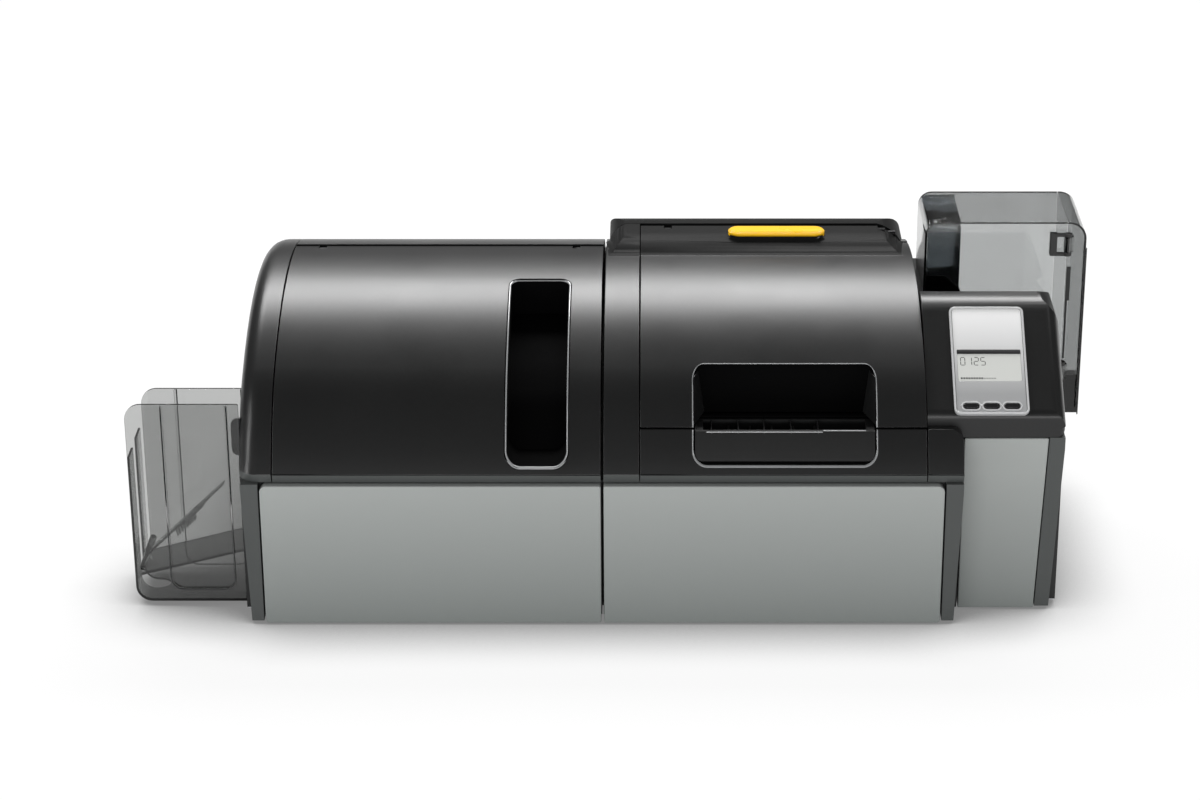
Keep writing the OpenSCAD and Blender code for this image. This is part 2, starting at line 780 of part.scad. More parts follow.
module recess_space(grow) intersection() {
    along_x(recess_left - grow, recess_right + grow) recess_outline(grow);
    along_y(-50, 200) soft_rect(recess_left - grow, recess_right + grow, main_low - 20,
        recess_top + 0.4 + grow, [0, 0, recess_r + grow, recess_r + grow]);
}

main_edge = main_low + cover_gap;

module main_cover() color(black) difference() {
    union() {
        difference() {
            union() {
                along_x(main_left, main_right) body_section(0, main_edge, main_hinge_y);
                hump_front_half();
            }
            along_x(main_left + cover_wall, main_right - cover_wall)
                body_section(cover_wall, main_edge - 20, main_hinge_y + 40);
            hump(main_left + cover_wall, main_right - cover_wall, cover_wall);
            along_x(main_left - 1, main_right + 1) body_section(cover_rib, main_edge - 20, main_hinge_y + 40);
        }
        rod_x(main_left, hump_right - 22, main_hinge_y, main_hinge_z, barrel_r);
        intersection() {
            recess_space(recess_wall);
            along_x(main_left, main_right) body_section(0, main_edge, main_hinge_y);
        }
        release_well(2.5);
    }
    recess_space(0);
    release_well(0);
    for (s = [-1, 1]) translate([release_x + s * release_len / 3, release_y, release_floor - 5])
        cylinder(10, release_stem_r + running, release_stem_r + running, $fn = 32);
    ear_slots(main_ears, main_hinge_y, main_hinge_z);
    hinge_bores(main_ears, main_hinge_y, main_hinge_z);
}

module hump_front_half() intersection() {
    hump(main_left, main_right);
    block(0, big, 0, main_hinge_y, 0, big);
}

release_x = main_left + 90 + release_len / 2;
release_y = main_hinge_y - 21;
release_floor = hump_z - 12;
release_fit = 0.4;
release_stem_r = 2;

// Well that the release button moves in; the button rests on a spring above its floor
module release_well(grow) translate([release_x, release_y, release_floor - (grow > 0 ? grow : 0)])
    linear_extrude(grow > 0 ? hump_z - release_floor + grow - 1.2 : 30)
        oval(release_len + 2 * release_fit + 2 * grow, release_w + 2 * release_fit + 2 * grow);

module release_button() color([0.97, 0.68, 0.0]) translate([release_x, release_y, 0]) {
    stages = [[0, 0], [0.4, 0.35], [0.75, 0.7], [1, 1.3]];
    translate([0, 0, release_floor + release_travel + 0.5])
        linear_extrude(hump_z - release_floor - release_travel + release_proud - 2.5)
            oval(release_len, release_w);
    for (s = stages)
        translate([0, 0, hump_z + release_proud - 2.5])
            linear_extrude(0.6 + 1.9 * s[0]) oval(release_len - 2 * s[1] * 2.2, release_w - 2 * s[1] * 2.2);
    for (s = [-1, 1]) translate([s * release_len / 3, 0, release_floor - 1])
        cylinder(release_travel + 1.6, release_stem_r, release_stem_r, $fn = 32);
}

// ---------------------------------------------------------------- lower front and reject bin

reject_side = 1;
reject_hinge_y = 14;
reject_hinge_z = reject_low + 4;
reject_pin_r = 2;
reject_back = recess_back - 4;
front_top = main_low - 0.5;
pocket_left = recess_left;
pocket_right = recess_right;

module lower_front() color(black) difference() {
    union() {
        difference() {
            along_x(main_left, main_right) {
                body_section(0, lip_top - eps, recess_back + 6);
                lip_section(recess_back + 6);
            }
            block(0, big, -50, 200, front_top, big);
            for (x = [
                [main_left + cover_wall, pocket_left - recess_wall],
                [pocket_right + recess_wall, main_right - cover_wall]
            ])
                along_x(x[0], x[1]) difference() {
                    body_section(cover_wall, deck_z - 5, recess_back + 10);
                    translate([0, deck_z - 10]) square([lip_back + 9, lip_h + 10 + 2]);
                }
        }
    }
    along_y(-50, recess_back) soft_rect(pocket_left, pocket_right, reject_low - 1, front_top + 20,
        [reject_r, reject_r, 0, 0]);
    rod_x(pocket_left - recess_wall - 1, pocket_right + recess_wall + 1, reject_hinge_y, reject_hinge_z,
        reject_pin_r + running);
}

// Tilting bin: curved front, floor, back and ends, with guide ribs across
module reject_bin() color(black) {
    difference() {
        intersection() {
            along_x(pocket_left + reject_side, pocket_right - reject_side)
                body_section(0, reject_low, reject_back);
            along_y(-50, reject_back) soft_rect(pocket_left + reject_side, pocket_right - reject_side,
                reject_low, front_top - 1.5, [reject_r - 1, reject_r - 1, 0, 0]);
        }
        difference() {
            along_x(pocket_left + reject_side + 8, pocket_right - reject_side - 8)
                body_section(cover_wall, reject_low + cover_wall, reject_back - 2.5);
            for (i = [1 : reject_ribs]) reject_rib(i);
        }
        rod_x(pocket_left, pocket_left + reject_side + 6, reject_hinge_y, reject_hinge_z, reject_pin_r);
        rod_x(pocket_right - reject_side - 6, pocket_right, reject_hinge_y, reject_hinge_z, reject_pin_r);
        // Rounded below the hinge, so that the bin clears the lower front as it tilts
        along_x(pocket_left, pocket_right) difference() {
            translate([-20, reject_low - 20]) square([reject_hinge_y + 20, reject_hinge_z - reject_low + 20]);
            disc(reject_hinge_y, reject_hinge_z, reject_hinge_z - reject_low);
        }
    }
    rod_x(pocket_left - recess_wall + 0.2, pocket_left + reject_side + 6, reject_hinge_y, reject_hinge_z,
        reject_pin_r);
    rod_x(pocket_right - reject_side - 6, pocket_right + recess_wall - 0.2, reject_hinge_y, reject_hinge_z,
        reject_pin_r);
}

module reject_rib(i) {
    pitch = (recess_w - 50) / (reject_ribs + 1);
    x = pocket_left + 12 + i * pitch;
    block(x, x + 2, 0, reject_back, reject_low, front_top - 8);
}

module corner_cover() color(black) intersection() {
    along_x(tower_left, printer_right) {
        body_section(0, lip_top - eps, tower_y - 0.5);
        lip_section(tower_y - 0.5);
    }
    along_y(-20, 100) soft_rect(tower_left - 10, printer_right, 0, front_top, [0, 0, 12, 0]);
}

// ---------------------------------------------------------------- feeder tower

front_round = 12;
top_round = 40;
// Rounded corner of a polygon: tangent arc between two directions
slope_line = function (y) slope_low + (y - slope_y) * tan(slope_a);
front_c = [tower_y + front_round, slope_line(tower_y + front_round) - front_round / cos(slope_a)];
top_c_z = tower_top - top_round;
top_c = [slope_y + (top_c_z + top_round / cos(slope_a) - slope_low) / tan(slope_a), top_c_z];

module tower_section() polygon(concat(
    [[tower_y, foot_h + plate_t]],
    arc(front_c[0], front_c[1], front_round, 90, slope_a, 6),
    arc(top_c[0], top_c[1], top_round, slope_a, 0, 6),
    [[tower_ridge_y, tower_top], [tower_split, tower_top - ridge_fall], [tower_split, hopper_low - 2],
     [tower_rear, hopper_low - 2], [tower_rear, foot_h + plate_t]]));

module tower_housing() color(black) difference() {
    intersection() {
        along_x(tower_left, tower_right) tower_section();
        along_y(0, body_depth) soft_rect(tower_left - 10, tower_right, 0, tower_top + 1,
            [0, 0, tower_edge_r, 0]);
        on_slope() along_y(-big, big)
            soft_rect(tower_left - 10, tower_right, -big, 0, [0, 0, tower_side_r, 0]);
    }
    block(tower_left - 1, tower_lower_left, 0, body_depth, -1, deck_z);
    // Room behind the gray panel and its frame
    block(tower_lower_left - 1, tower_right + 1, 0, tower_y + panel_d, -1, tower_panel_top + 1);
    block(tower_lower_left + base_wall, tower_right - base_wall, tower_y + panel_d + base_wall,
        tower_rear - base_wall, -1, hopper_low - 2 - base_wall);
    block(tower_left + base_wall, tower_right - base_wall, tower_y + panel_d + base_wall,
        tower_split - base_wall, hopper_low - 40, slope_low - 8);
    on_slope() translate([bezel_left - 0.3, bezel_s - 0.3, -2])
        linear_extrude(10) soft_rect(0, bezel_w + 0.6, 0, bezel_len + 0.6, bezel_r * [1, 1, 1, 1]);
    for (i = [0:2]) key_space(i, 0.5);
}

// Puts a piece on the sloping face: x as the body's, y up the slope, z out of it
module on_slope() translate([0, slope_y, slope_low]) rotate([slope_a, 0, 0]) children();

tower_panel_left = tower_lower_left + 0.8;

module tower_panel_shape(grow) polygon([
    [tower_panel_left - grow, panel_low],
    [tower_panel_left + tower_panel_w + grow, panel_low],
    [tower_panel_left + tower_panel_w + tower_panel_flare + grow, tower_panel_top],
    [tower_panel_left - grow, tower_panel_top]
]);

module tower_panel() color(panel_gray) difference() {
    along_y(tower_y - 1, tower_y + panel_d) tower_panel_shape(0);
    along_y(tower_y - 1 + panel_wall, tower_y + panel_d + 1) intersection() {
        tower_panel_shape(-panel_wall);
        translate([0, panel_low + panel_wall]) square([big, tower_panel_top - panel_low - 2 * panel_wall]);
    }
}

module tower_frame() color(dark_gray) along_y(tower_y - 1, tower_y + panel_d) difference() {
    polygon([
        [tower_panel_left + tower_panel_w + 0.8, foot_h],
        [tower_right - 8, foot_h], [tower_right, tower_panel_top - 12], [tower_right, tower_panel_top + 1],
        [tower_panel_left + tower_panel_w + tower_panel_flare + 0.8, tower_panel_top + 1]
    ]);
    tower_panel_shape(0.8);
}

// ---------------------------------------------------------------- control panel

module bezel_outline(grow) soft_rect(bezel_left - grow, bezel_left + bezel_w + grow,
    bezel_s - grow, bezel_s + bezel_len + grow, bezel_r * [1, 1, 1, 1]);

module control_bezel() color([0.8, 0.81, 0.82]) on_slope() difference() {
    translate([0, 0, -2]) linear_extrude(2 + bezel_proud) bezel_outline(0);
    translate([0, 0, bezel_proud - 0.8]) linear_extrude(5)
        soft_rect(lcd_left, lcd_left + lcd_w, lcd_s, lcd_s + lcd_h + 6, [2, 2, 2, 2]);
    for (i = [0:2]) translate([key_x(i), key_s, -10]) linear_extrude(20) oval(key_len + 0.6, key_w + 0.6);
}

// Display window with the dark bar above it
module display() color([0.62, 0.64, 0.63]) on_slope() translate([0, 0, bezel_proud - 0.8])
    linear_extrude(0.6) soft_rect(lcd_left + 0.2, lcd_left + lcd_w - 0.2, lcd_s + 0.2, lcd_s + lcd_h + 5.8,
        [2, 2, 2, 2]);

function key_x(i) = bezel_left + bezel_w / 2 + (i - 1) * key_pitch;
key_depth = 8;
key_floor = 2.4;

module key_space(i, grow) on_slope() translate([key_x(i), key_s, -key_depth - grow])
    linear_extrude(key_depth + 10) oval(key_len + 2 * grow, key_w + 2 * grow);

// Oval button with a stem that stands on the floor of its well when pressed
module key(i) color([0.12, 0.12, 0.13]) on_slope() translate([key_x(i), key_s, 0]) {
    translate([0, 0, -key_depth + key_floor])
        linear_extrude(key_depth - key_floor + bezel_proud + key_proud - 0.5) oval(key_len, key_w);
    translate([0, 0, bezel_proud + key_proud - 0.6]) linear_extrude(0.6) oval(key_len - 1.6, key_w - 1.6);
    translate([0, 0, -key_depth - 0.5 + key_travel]) cylinder(key_floor, 1.5, 1.5, $fn = 32);
}

module key_left() key(0);

module key_middle() key(1);

module key_right() key(2);

// ---------------------------------------------------------------- card hopper

hopper_rear = hopper_y + hopper_d;
hopper_mid_y = hopper_y + hopper_d / 2;
floor_top = hopper_low + 4;
guide_proud = 7.1;
channel_in = 6;
channel_t = 1.6;

module hopper_outline(inset) soft_rect(hopper_left + inset, hopper_right - inset, hopper_low + inset,
    hopper_top - inset, [0, 0, hopper_right_r - inset, hopper_left_r - inset]);

module hopper_walls() difference() {
    along_y(hopper_y, hopper_rear) hopper_outline(0);
    along_y(hopper_y + hopper_wall, hopper_rear - hopper_wall) hopper_outline(hopper_wall);
}

// Fixed part of the clear hopper: front, rear, left end and top, open below, with the
// channel of its card guide
module hopper_shell() color(smoke) {
    difference() {
        intersection() {
            hopper_walls();
            block(0, door_left - 0.6, 0, body_depth, floor_top, big);
        }
        block(hopper_left + hopper_wall, big, hopper_y + hopper_wall, hopper_rear - hopper_wall, 0,
            floor_top + 16);
        over_base();
    }
    for (y = [hopper_y + hopper_wall + post_d + 0.4, hopper_rear - hopper_wall - channel_in - channel_t])
        along_y(y, y + channel_t) intersection() {
            hopper_outline(hopper_wall / 2);
            translate([0, guide_low]) square([guide_right + 4, big]);
        }
}

// What the printer's lower body takes up under the hopper's left end
module over_base() block(0, tower_lower_left - 0.6, 0, body_depth, 0, deck_z);

hinge_x = door_left;
bracket_w = 18;
hinge_y = hopper_y - 5;
door_pin_r = 2;
knuckle_r = 4;
knuckle_z = [hopper_low + 40, hopper_top - 30];
knuckle_h = 16;

module hopper_door() color(smoke) difference() {
    union() {
        intersection() {
            hopper_walls();
            block(door_left, big, 0, body_depth, 0, big);
        }
        for (z = knuckle_z) {
            rod_z(z, z + knuckle_h, hinge_x, hinge_y, knuckle_r);
            block(hinge_x + 0.5, hinge_x + 6, hinge_y, hopper_y + 0.1, z, z + knuckle_h);
        }
    }
    for (z = knuckle_z) rod_z(z - 1, z + knuckle_h + 1, hinge_x, hinge_y, door_pin_r + running);
}

// Fixed brackets with the two door pins
module hopper_hinge() color([0.09, 0.09, 0.09]) for (z = knuckle_z) {
    rod_z(z - 4, z + knuckle_h + 4, hinge_x, hinge_y, door_pin_r);
    for (a = [z - 4, z + knuckle_h + 0.6]) {
        rod_z(a, a + 3.4, hinge_x, hinge_y, knuckle_r);
        block(hinge_x - bracket_w, hinge_x, hinge_y - 2, hinge_y + 2, a, a + 3.4);
    }
    block(hinge_x - bracket_w, hinge_x - bracket_w + 7, hinge_y - 2, hopper_y, z - 4, z + knuckle_h + 4);
}

// Sizes of the door's foot and of the latch above it
foot_wall = 12;
foot_rise = 42;
latch_x = door_left + 0.8;
latch_w = 4;
latch_low = 250;
latch_h = 36;

// Black foot at the bottom of the door, and the latch bar with its pull rod on the door's front
module door_foot() color([0.06, 0.06, 0.06]) {
    block(door_left + 4, hopper_right - hopper_wall,
        hopper_y + hopper_wall, hopper_y + foot_wall + hopper_wall,
        hopper_low + hopper_wall, hopper_low + foot_rise);
    block(door_left + 4, hopper_right - hopper_wall, hopper_y + foot_wall, hopper_rear - hopper_wall,
        hopper_low + hopper_wall, hopper_low + 10);
    block(latch_x, latch_x + latch_w, hopper_y - 2.4, hopper_y, latch_low, latch_low + latch_h);
    block(latch_x, latch_x + latch_w / 2, hopper_y - 2.4, hopper_y, latch_low - 21, latch_low);
    rod_z(knuckle_z[0] + knuckle_h + 6, latch_low - 20, latch_x + 1.2, hopper_y - 1.2, 1);
}

guide_left = hopper_left + hopper_wall;
guide_right = max(hopper_left + guide_w, tower_lower_left + guide_proud);
tongue_w = 12;
post_d = 9;

// Card guide: a channel with a slot that the weight's tongue runs in, and a front post
// with a sloping shoulder
module hopper_guide() color([0.05, 0.05, 0.05]) {
    difference() {
        block(guide_left, guide_right, hopper_y + hopper_wall, hopper_rear - hopper_wall,
            floor_top, guide_low);
        block(guide_right - tongue_w / 2, guide_right + 1,
            hopper_mid_y - tongue_w / 2, hopper_mid_y + tongue_w / 2, floor_top - 1, guide_low + 1);
        over_base();
    }
    along_y(hopper_y + hopper_wall, hopper_y + hopper_wall + post_d) polygon([
        [guide_left, guide_low], [guide_left, guide_top], [guide_left + 20, guide_top],
        [guide_right + 5, guide_top - 16], [guide_right + 5, guide_low - 12], [guide_right, guide_low - 12],
        [guide_right, guide_low]
    ]);
}

// Feeder floor with the card slot towards the printer
module hopper_floor() color([0.06, 0.06, 0.06]) difference() {
    block(hopper_left, door_left - 0.6, hopper_y, hopper_rear, hopper_low - 2, floor_top);
    block(guide_right + 20, guide_right + 30, hopper_y + 20, hopper_rear - 20, hopper_low, floor_top + 1);
    over_base();
}

weight_left = guide_right + 1;
weight_right = door_left - 24;
weight_low = floor_top + 0.3;
weight_h = 20;
weight_side = 18;

// Weight that presses the cards down, with a tongue in the guide's slot
module card_weight() color([0.08, 0.08, 0.08]) {
    along_y(hopper_y + weight_side, hopper_rear - weight_side) polygon([
        [weight_left, weight_low], [weight_right, weight_low], [weight_right, weight_low + 0.4 * weight_h],
        [weight_right - 0.8 * weight_h, weight_low + weight_h], [weight_left, weight_low + weight_h]
    ]);
    block(guide_right - tongue_w / 2 + 0.6, weight_left + 1, hopper_mid_y - tongue_w / 2 + 0.6,
        hopper_mid_y + tongue_w / 2 - 0.6, weight_low, weight_low + weight_h);
}

// ---------------------------------------------------------------- card bin

bin_right = laminator_left;
bin_rear = bin_y + bin_d;
arm_hinge_x = bin_left + 8;
arm_hinge_z = ramp_low + 7;
arm_pin_r = 2;
bin_mid_y = bin_y + bin_d / 2;
tine_pitch = 3.6;
tine_len = 8;

// Clear bin: front wall, lower rear wall, low end wall with a finger slot, floor and mounting wall
module card_bin() color(smoke) difference() {
    union() {
        along_y(bin_y, bin_y + bin_wall)
            soft_rect(bin_left, bin_right, bin_low, bin_top, [bin_r, 2, 2, bin_r]);
        along_y(bin_rear - bin_wall, bin_rear)
            soft_rect(bin_left + 5, bin_right, bin_low, bin_top - bin_rear_drop, [bin_r, 2, 2, bin_r]);
        along_y(bin_y, bin_rear) difference() {
            soft_rect(bin_left, bin_right, bin_low, bin_end_top, [bin_r, 2, 0, 0]);
            soft_rect(bin_left + bin_wall, bin_right - bin_wall, bin_low + bin_wall, bin_end_top + 1,
                [bin_r - bin_wall, 1, 0, 0]);
        }
        // U-shaped stiffening bead on the front wall
        along_y(bin_y - 1.4, bin_y) difference() {
            soft_rect(bin_left + 35, bin_right - 11, bin_low + 13, bin_top - 2, [14, 6, 0, 0]);
            soft_rect(bin_left + 37.5, bin_right - 13.5, bin_low + 15.5, bin_top, [11.5, 3.5, 0, 0]);
        }
        // Upright rib on the rear wall
        block(bin_left + 38, bin_left + 40.2, bin_rear, bin_rear + 1.4,
            bin_low + 60, bin_top - bin_rear_drop - 2);
    }
    // Finger slot in the end wall, round its lower bend and into the floor
    block(bin_left - 1, bin_left + bin_r, bin_y + bin_d / 2 - 11, bin_y + bin_d / 2 + 11,
        bin_low - 1, bin_end_top + 1);
    translate([bin_left + bin_r, bin_y + bin_d / 2, bin_low - 1]) scale([1.2, 1, 1])
        cylinder(bin_wall + 2, 11, 11, $fn = 48);
    // Room for the cards that come through the laminator's side
    block(bin_right - bin_wall - 1, bin_right + 1, bin_y + bin_wall, bin_rear - bin_wall,
        exit_low - 12, bin_end_top + 1);
    rod_y(bin_y - 5, bin_rear + 5, arm_hinge_x, arm_hinge_z, arm_pin_r + running);
}

// Sloping floor that the cards land on
module bin_ramp() color(smoke) intersection() {
    block(bin_left + bin_wall + 0.3, bin_right - bin_wall - 0.3, bin_y + ramp_in, bin_rear - bin_wall,
        bin_low, bin_top);
    translate([bin_left, 0, ramp_low - 8]) rotate([0, -ramp_a, 0])
        block(-10, bin_w + 30, 0, body_depth, -ramp_t, 0);
}

// Sprung arm that the cards press down
module card_arm() color(smoke) translate([arm_hinge_x, 0, arm_hinge_z]) rotate([0, -arm_a, 0]) {
    rod_y(bin_y + 0.2, bin_rear - 0.2, 0, 0, arm_pin_r);
    rod_y(bin_y + bin_wall + 0.6, bin_rear - bin_wall - 0.6, 0, 0, arm_pin_r + 1.5);
    along_y(bin_mid_y - arm_w / 2, bin_mid_y + arm_w / 2) {
        polygon([
            [0, -1.2], [arm_len * 0.4, -1.2], [arm_len * 0.46, -3], [arm_len * 0.7, -3],
            [arm_len * 0.76, -1.2], [arm_len, -0.6], [arm_len, 0.6], [0, 1.2]
        ]);
        for (i = [0 : arm_tines - 1]) translate([arm_len * 0.36 + i * tine_pitch, 0]) polygon([
            [0, -1], [-tine_len * 0.5, -tine_len], [1 - tine_len * 0.5, -tine_len], [1.2, -1]
        ]);
    }
}

// ---------------------------------------------------------------- mechanism

module spool(x, r) color([0.16, 0.16, 0.18]) difference() {
    union() {
        rod_y(roll_front, roll_back, x, spool_z, r * 0.72);
        for (y = [roll_front, roll_back - 2.5]) rod_y(y, y + 2.5, x, spool_z, r);
        rod_y(roll_front - 4, roll_back + 4, x, spool_z, spindle_r + 4);
    }
    rod_y(roll_front - 5, roll_back + 5, x, spool_z, spindle_r + running);
    for (a = [0:60:300]) rotate_about(x, spool_z, a)
        rod_y(roll_front - 1, roll_front + 3, x + r * 0.86, spool_z, r * 0.07);
}

module rotate_about(x, z, a) translate([x, 0, z]) rotate([0, a, 0]) translate([-x, 0, -z]) children();

module spindles() color(steel) for (x = concat(spool_xs, lam_spool_xs)) {
    rod_y(roll_front - 6, back_y, x, spool_z, spindle_r);
    rod_y(back_y - 1.5, back_y, x, spool_z, spindle_r + 5);
}

spool_xs = [for (i = [0:3]) spool_x0 + i * spool_pitch];
lam_spool_xs = [lam_spool_x0, lam_spool_x0 + lam_spool_pitch];

module ribbon_supply() spool(spool_xs[0], spool_r);

module ribbon_takeup() spool(spool_xs[1], spool_r);

module film_supply() spool(spool_xs[2], spool_r);

module film_takeup() spool(spool_xs[3], spool_r);

module laminate_supply() spool(lam_spool_xs[0], lam_spool_r);

module laminate_takeup() spool(lam_spool_xs[1], lam_spool_r);

// A roller with its shaft running into the plates before and behind it
module roller(x, z, r, c) {
    color(c) rod_y(roll_front, roll_back, x, z, r);
    color(steel) rod_y(rail_y, back_y + mech_t, x, z, shaft_r);
}

rubber_gray = [0.2, 0.2, 0.21];
heat_red = [0.45, 0.2, 0.16];

module transfer_roller() roller(transfer_x, heat_z, heat_r, heat_red);

module platen_roller() roller(head_x, low_roll_z, feed_r, rubber_gray);

module backing_roller() roller(transfer_x, low_roll_z, feed_r, rubber_gray);

module infeed_roller() roller(infeed_x, low_roll_z, feed_r, rubber_gray);

module laminating_roller() roller(lam_heat_x, heat_z, heat_r, heat_red);

module laminator_exit_roller() roller(lam_roll_x[0], low_roll_z, feed_r, rubber_gray);

module laminator_backing_roller() roller(lam_roll_x[1], low_roll_z, feed_r, rubber_gray);

module laminator_infeed_roller() roller(lam_roll_x[2], low_roll_z, feed_r, rubber_gray);

// Upright plate with holes for shafts; the holes are [x, z] pairs
module mech_plate(x0, x1, y, top, holes) color(steel) difference() {
    along_y(y, y + mech_t) soft_rect(x0, x1, deck, top, [0, 0, 8, 8]);
    for (h = holes) rod_y(y - 1, y + mech_t + 1, h[0], h[1], shaft_r + running);
}

printer_holes = [
    [head_x, low_roll_z], [transfer_x, low_roll_z], [infeed_x, low_roll_z], [transfer_x, heat_z]
];
lam_holes = concat([for (x = lam_roll_x) [x, low_roll_z]], [[lam_heat_x, heat_z]]);

module printer_back_plate() mech_plate(mech_left, mech_right, back_y, spool_z + spool_r + 4, printer_holes);

module printer_front_rail() mech_plate(mech_left, mech_right, rail_y, heat_z + 14, printer_holes);

module laminator_back_plate() mech_plate(lam_mech_left, lam_mech_right, back_y, spool_z + 18, lam_holes);

module laminator_front_rail() mech_plate(lam_mech_left, lam_mech_right, rail_y, heat_z + 14, lam_holes);

// Thermal print head on its bracket, above the platen roller
module print_head() color([0.3, 0.31, 0.33]) {
    along_y(roll_front, back_y) polygon([
        [head_x - 3, path_z + card_gap], [head_x + 3, path_z + card_gap], [head_x + 9, path_z + 8],
        [head_x + 9, path_z + 26], [head_x - 9, path_z + 26], [head_x - 9, path_z + 8]
    ]);
}

module hinge_pins() color(steel) {
    pins_at(main_ears, main_hinge_y, main_hinge_z);
    pins_at(lam_ears, lam_hinge_y, lam_hinge_z);
}

// ---------------------------------------------------------------- rear connectors

switch_x = conn_left + 100;
switch_z = conn_low + conn_h / 2;
switch_w = 14;
switch_h = 21;

module connector_panel() color([0.35, 0.36, 0.37]) difference() {
    block(conn_left, conn_left + conn_w, body_depth - base_wall, body_depth, conn_low, conn_low + conn_h);
    // Mains inlet
    along_y(body_depth - base_wall - 1, body_depth + 1) soft_rect(conn_left + 58, conn_left + 86,
        conn_low + 12, conn_low + 34, [1, 1, 6, 6]);
    // Square and wide data sockets
    block(conn_left + 10, conn_left + 22, body_depth - 3, body_depth + 1, conn_low + 16, conn_low + 27);
    block(conn_left + 32, conn_left + 48, body_depth - 3, body_depth + 1, conn_low + 16, conn_low + 29);
    block(switch_x - switch_w / 2, switch_x + switch_w / 2, body_depth - base_wall - 1, body_depth + 1,
        switch_z - switch_h / 2, switch_z + switch_h / 2);
    rod_x(switch_x - switch_w / 2 - 2, switch_x + switch_w / 2 + 2, body_depth - 2, switch_z, 1 + running);
}

module power_switch() color([0.06, 0.06, 0.06]) {
    along_x(switch_x - switch_w / 2 + 0.4, switch_x + switch_w / 2 - 0.4) polygon([
        [body_depth - 3.5, switch_z - switch_h / 2 + 1.5], [body_depth - 0.4, switch_z - switch_h / 2 + 1.5],
        [body_depth - 0.4, switch_z], [body_depth + 0, switch_z + switch_h / 2 - 2],
        [body_depth - 3, switch_z + switch_h / 2 - 2]
    ]);
    rod_x(switch_x - switch_w / 2 - 1.8, switch_x + switch_w / 2 + 1.8, body_depth - 2, switch_z, 1);
}

// ---------------------------------------------------------------- nodes

place() printer_base();
place() laminator_base();
place() base_plates();
place() feet();
place() printer_panel();
place() laminator_panel();
place() printer_frame();
place() laminator_frame();
place() laminator_cover();
place() grip_cup();
place() laminator_end_cap();
place() laminator_rear_housing();
place() printer_strip();
place() printer_rear_housing();
place() lower_front();
place() corner_cover();
place() main_cover();
place() release_button();
place() reject_bin();
place() tower_housing();
place() tower_panel();
place() tower_frame();
place() control_bezel();
place() display();
place() key_left();
place() key_middle();
place() key_right();
place() hopper_shell();
place() hopper_guide();
place() hopper_floor();
place() hopper_hinge();
place() hopper_door();
place() door_foot();
place() card_weight();
place() card_bin();
place() bin_ramp();
place() card_arm();
place() hinge_pins();
place() spindles();
place() printer_back_plate();
place() printer_front_rail();
place() ribbon_supply();
place() ribbon_takeup();
place() film_supply();
place() film_takeup();
place() print_head();
place() transfer_roller();
place() platen_roller();
place() backing_roller();
place() infeed_roller();
place() laminator_back_plate();
place() laminator_front_rail();
place() laminate_supply();
place() laminate_takeup();
place() laminating_roller();
place() laminator_infeed_roller();
place() laminator_backing_roller();
place() laminator_exit_roller();
place() connector_panel();
place() power_switch();
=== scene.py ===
"""Looks of a desktop card printer with a laminator module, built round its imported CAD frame."""

import json
import math

import bmesh
import bpy
from bpy.props import FloatProperty, FloatVectorProperty, IntProperty, PointerProperty
from mathutils import Matrix, Vector


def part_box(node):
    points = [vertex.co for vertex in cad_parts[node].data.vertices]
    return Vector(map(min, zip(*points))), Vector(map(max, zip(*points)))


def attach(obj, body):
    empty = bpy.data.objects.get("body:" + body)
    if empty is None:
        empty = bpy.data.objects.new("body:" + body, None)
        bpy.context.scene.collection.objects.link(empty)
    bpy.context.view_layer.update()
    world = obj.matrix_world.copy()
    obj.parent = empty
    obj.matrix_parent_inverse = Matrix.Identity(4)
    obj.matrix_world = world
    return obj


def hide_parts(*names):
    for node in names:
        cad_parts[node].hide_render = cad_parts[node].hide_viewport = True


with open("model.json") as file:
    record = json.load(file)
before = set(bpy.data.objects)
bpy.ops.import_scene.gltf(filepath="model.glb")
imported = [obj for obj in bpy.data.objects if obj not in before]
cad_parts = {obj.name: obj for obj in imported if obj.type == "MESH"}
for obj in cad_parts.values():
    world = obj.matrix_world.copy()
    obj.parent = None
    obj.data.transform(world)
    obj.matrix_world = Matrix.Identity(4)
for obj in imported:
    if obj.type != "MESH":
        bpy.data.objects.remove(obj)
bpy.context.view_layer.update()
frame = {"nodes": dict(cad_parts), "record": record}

MM = 0.001

# The covers' profile across X: middle (Y, Z) and radius of its front, shoulder and top arcs
PROFILE = ((0.02364, 0.03219, 0.300), (-0.11820, 0.14301, 0.120), (-0.01005, -0.03700, 0.330))
LIP_LOW = 0.1521
LIP_TOP = 0.1612
HAND_LEFT = 0.07635
HAND_RIGHT = 0.25235
GRIP_LEFT = -0.10495
GRIP_RIGHT = -0.04695
SLOPE = math.radians(36.4)
HUMP_LOW = 0.262
HUMP_FOOT_FRONT = -0.14
HUMP_FOOT_ROUND = 4.0 * MM
RECESS_FRONT = -0.236
RECESS_BACK = -0.14
RECESS_LOW = 0.17
CHANNEL_LOW = 0.240
GRIP_EDGE = 0.25 * MM
# Half thickness and top of the near-black sheet of painted shade in the seam between the modules.
SEAM_SHEET_HALF = 0.45 * MM
SEAM_SHEET_TOP = 0.266
QUARTER = math.radians(90)

# Left end, right end and height of the reject bin's two edge strips, and its dividers' places, in mm
BIN_STRIPS = ((88.0, 200.9, 198.6), (200.9, 242.5, 200.2))
BIN_DIVIDERS = (92.8, 118.9, 144.0, 170.1, 196.2)
KEYS = ("key_left", "key_middle", "key_right")
PHOTO_WIDTH = 1200

bl_info = {
    "name": "Card printer",
    "version": (1, 0, 0),
    "blender": (4, 5, 0),
    "location": "View3D > Sidebar > Card printer",
    "description": "Dresses the card printer's frame with finished pieces, materials and a studio",
    "category": "Object",
}


# ------------------------------------------------------------------ settings


def colour(label, default, text):
    return FloatVectorProperty(
        name=label, description=text, subtype="COLOR", size=3, min=0, max=1, default=default
    )


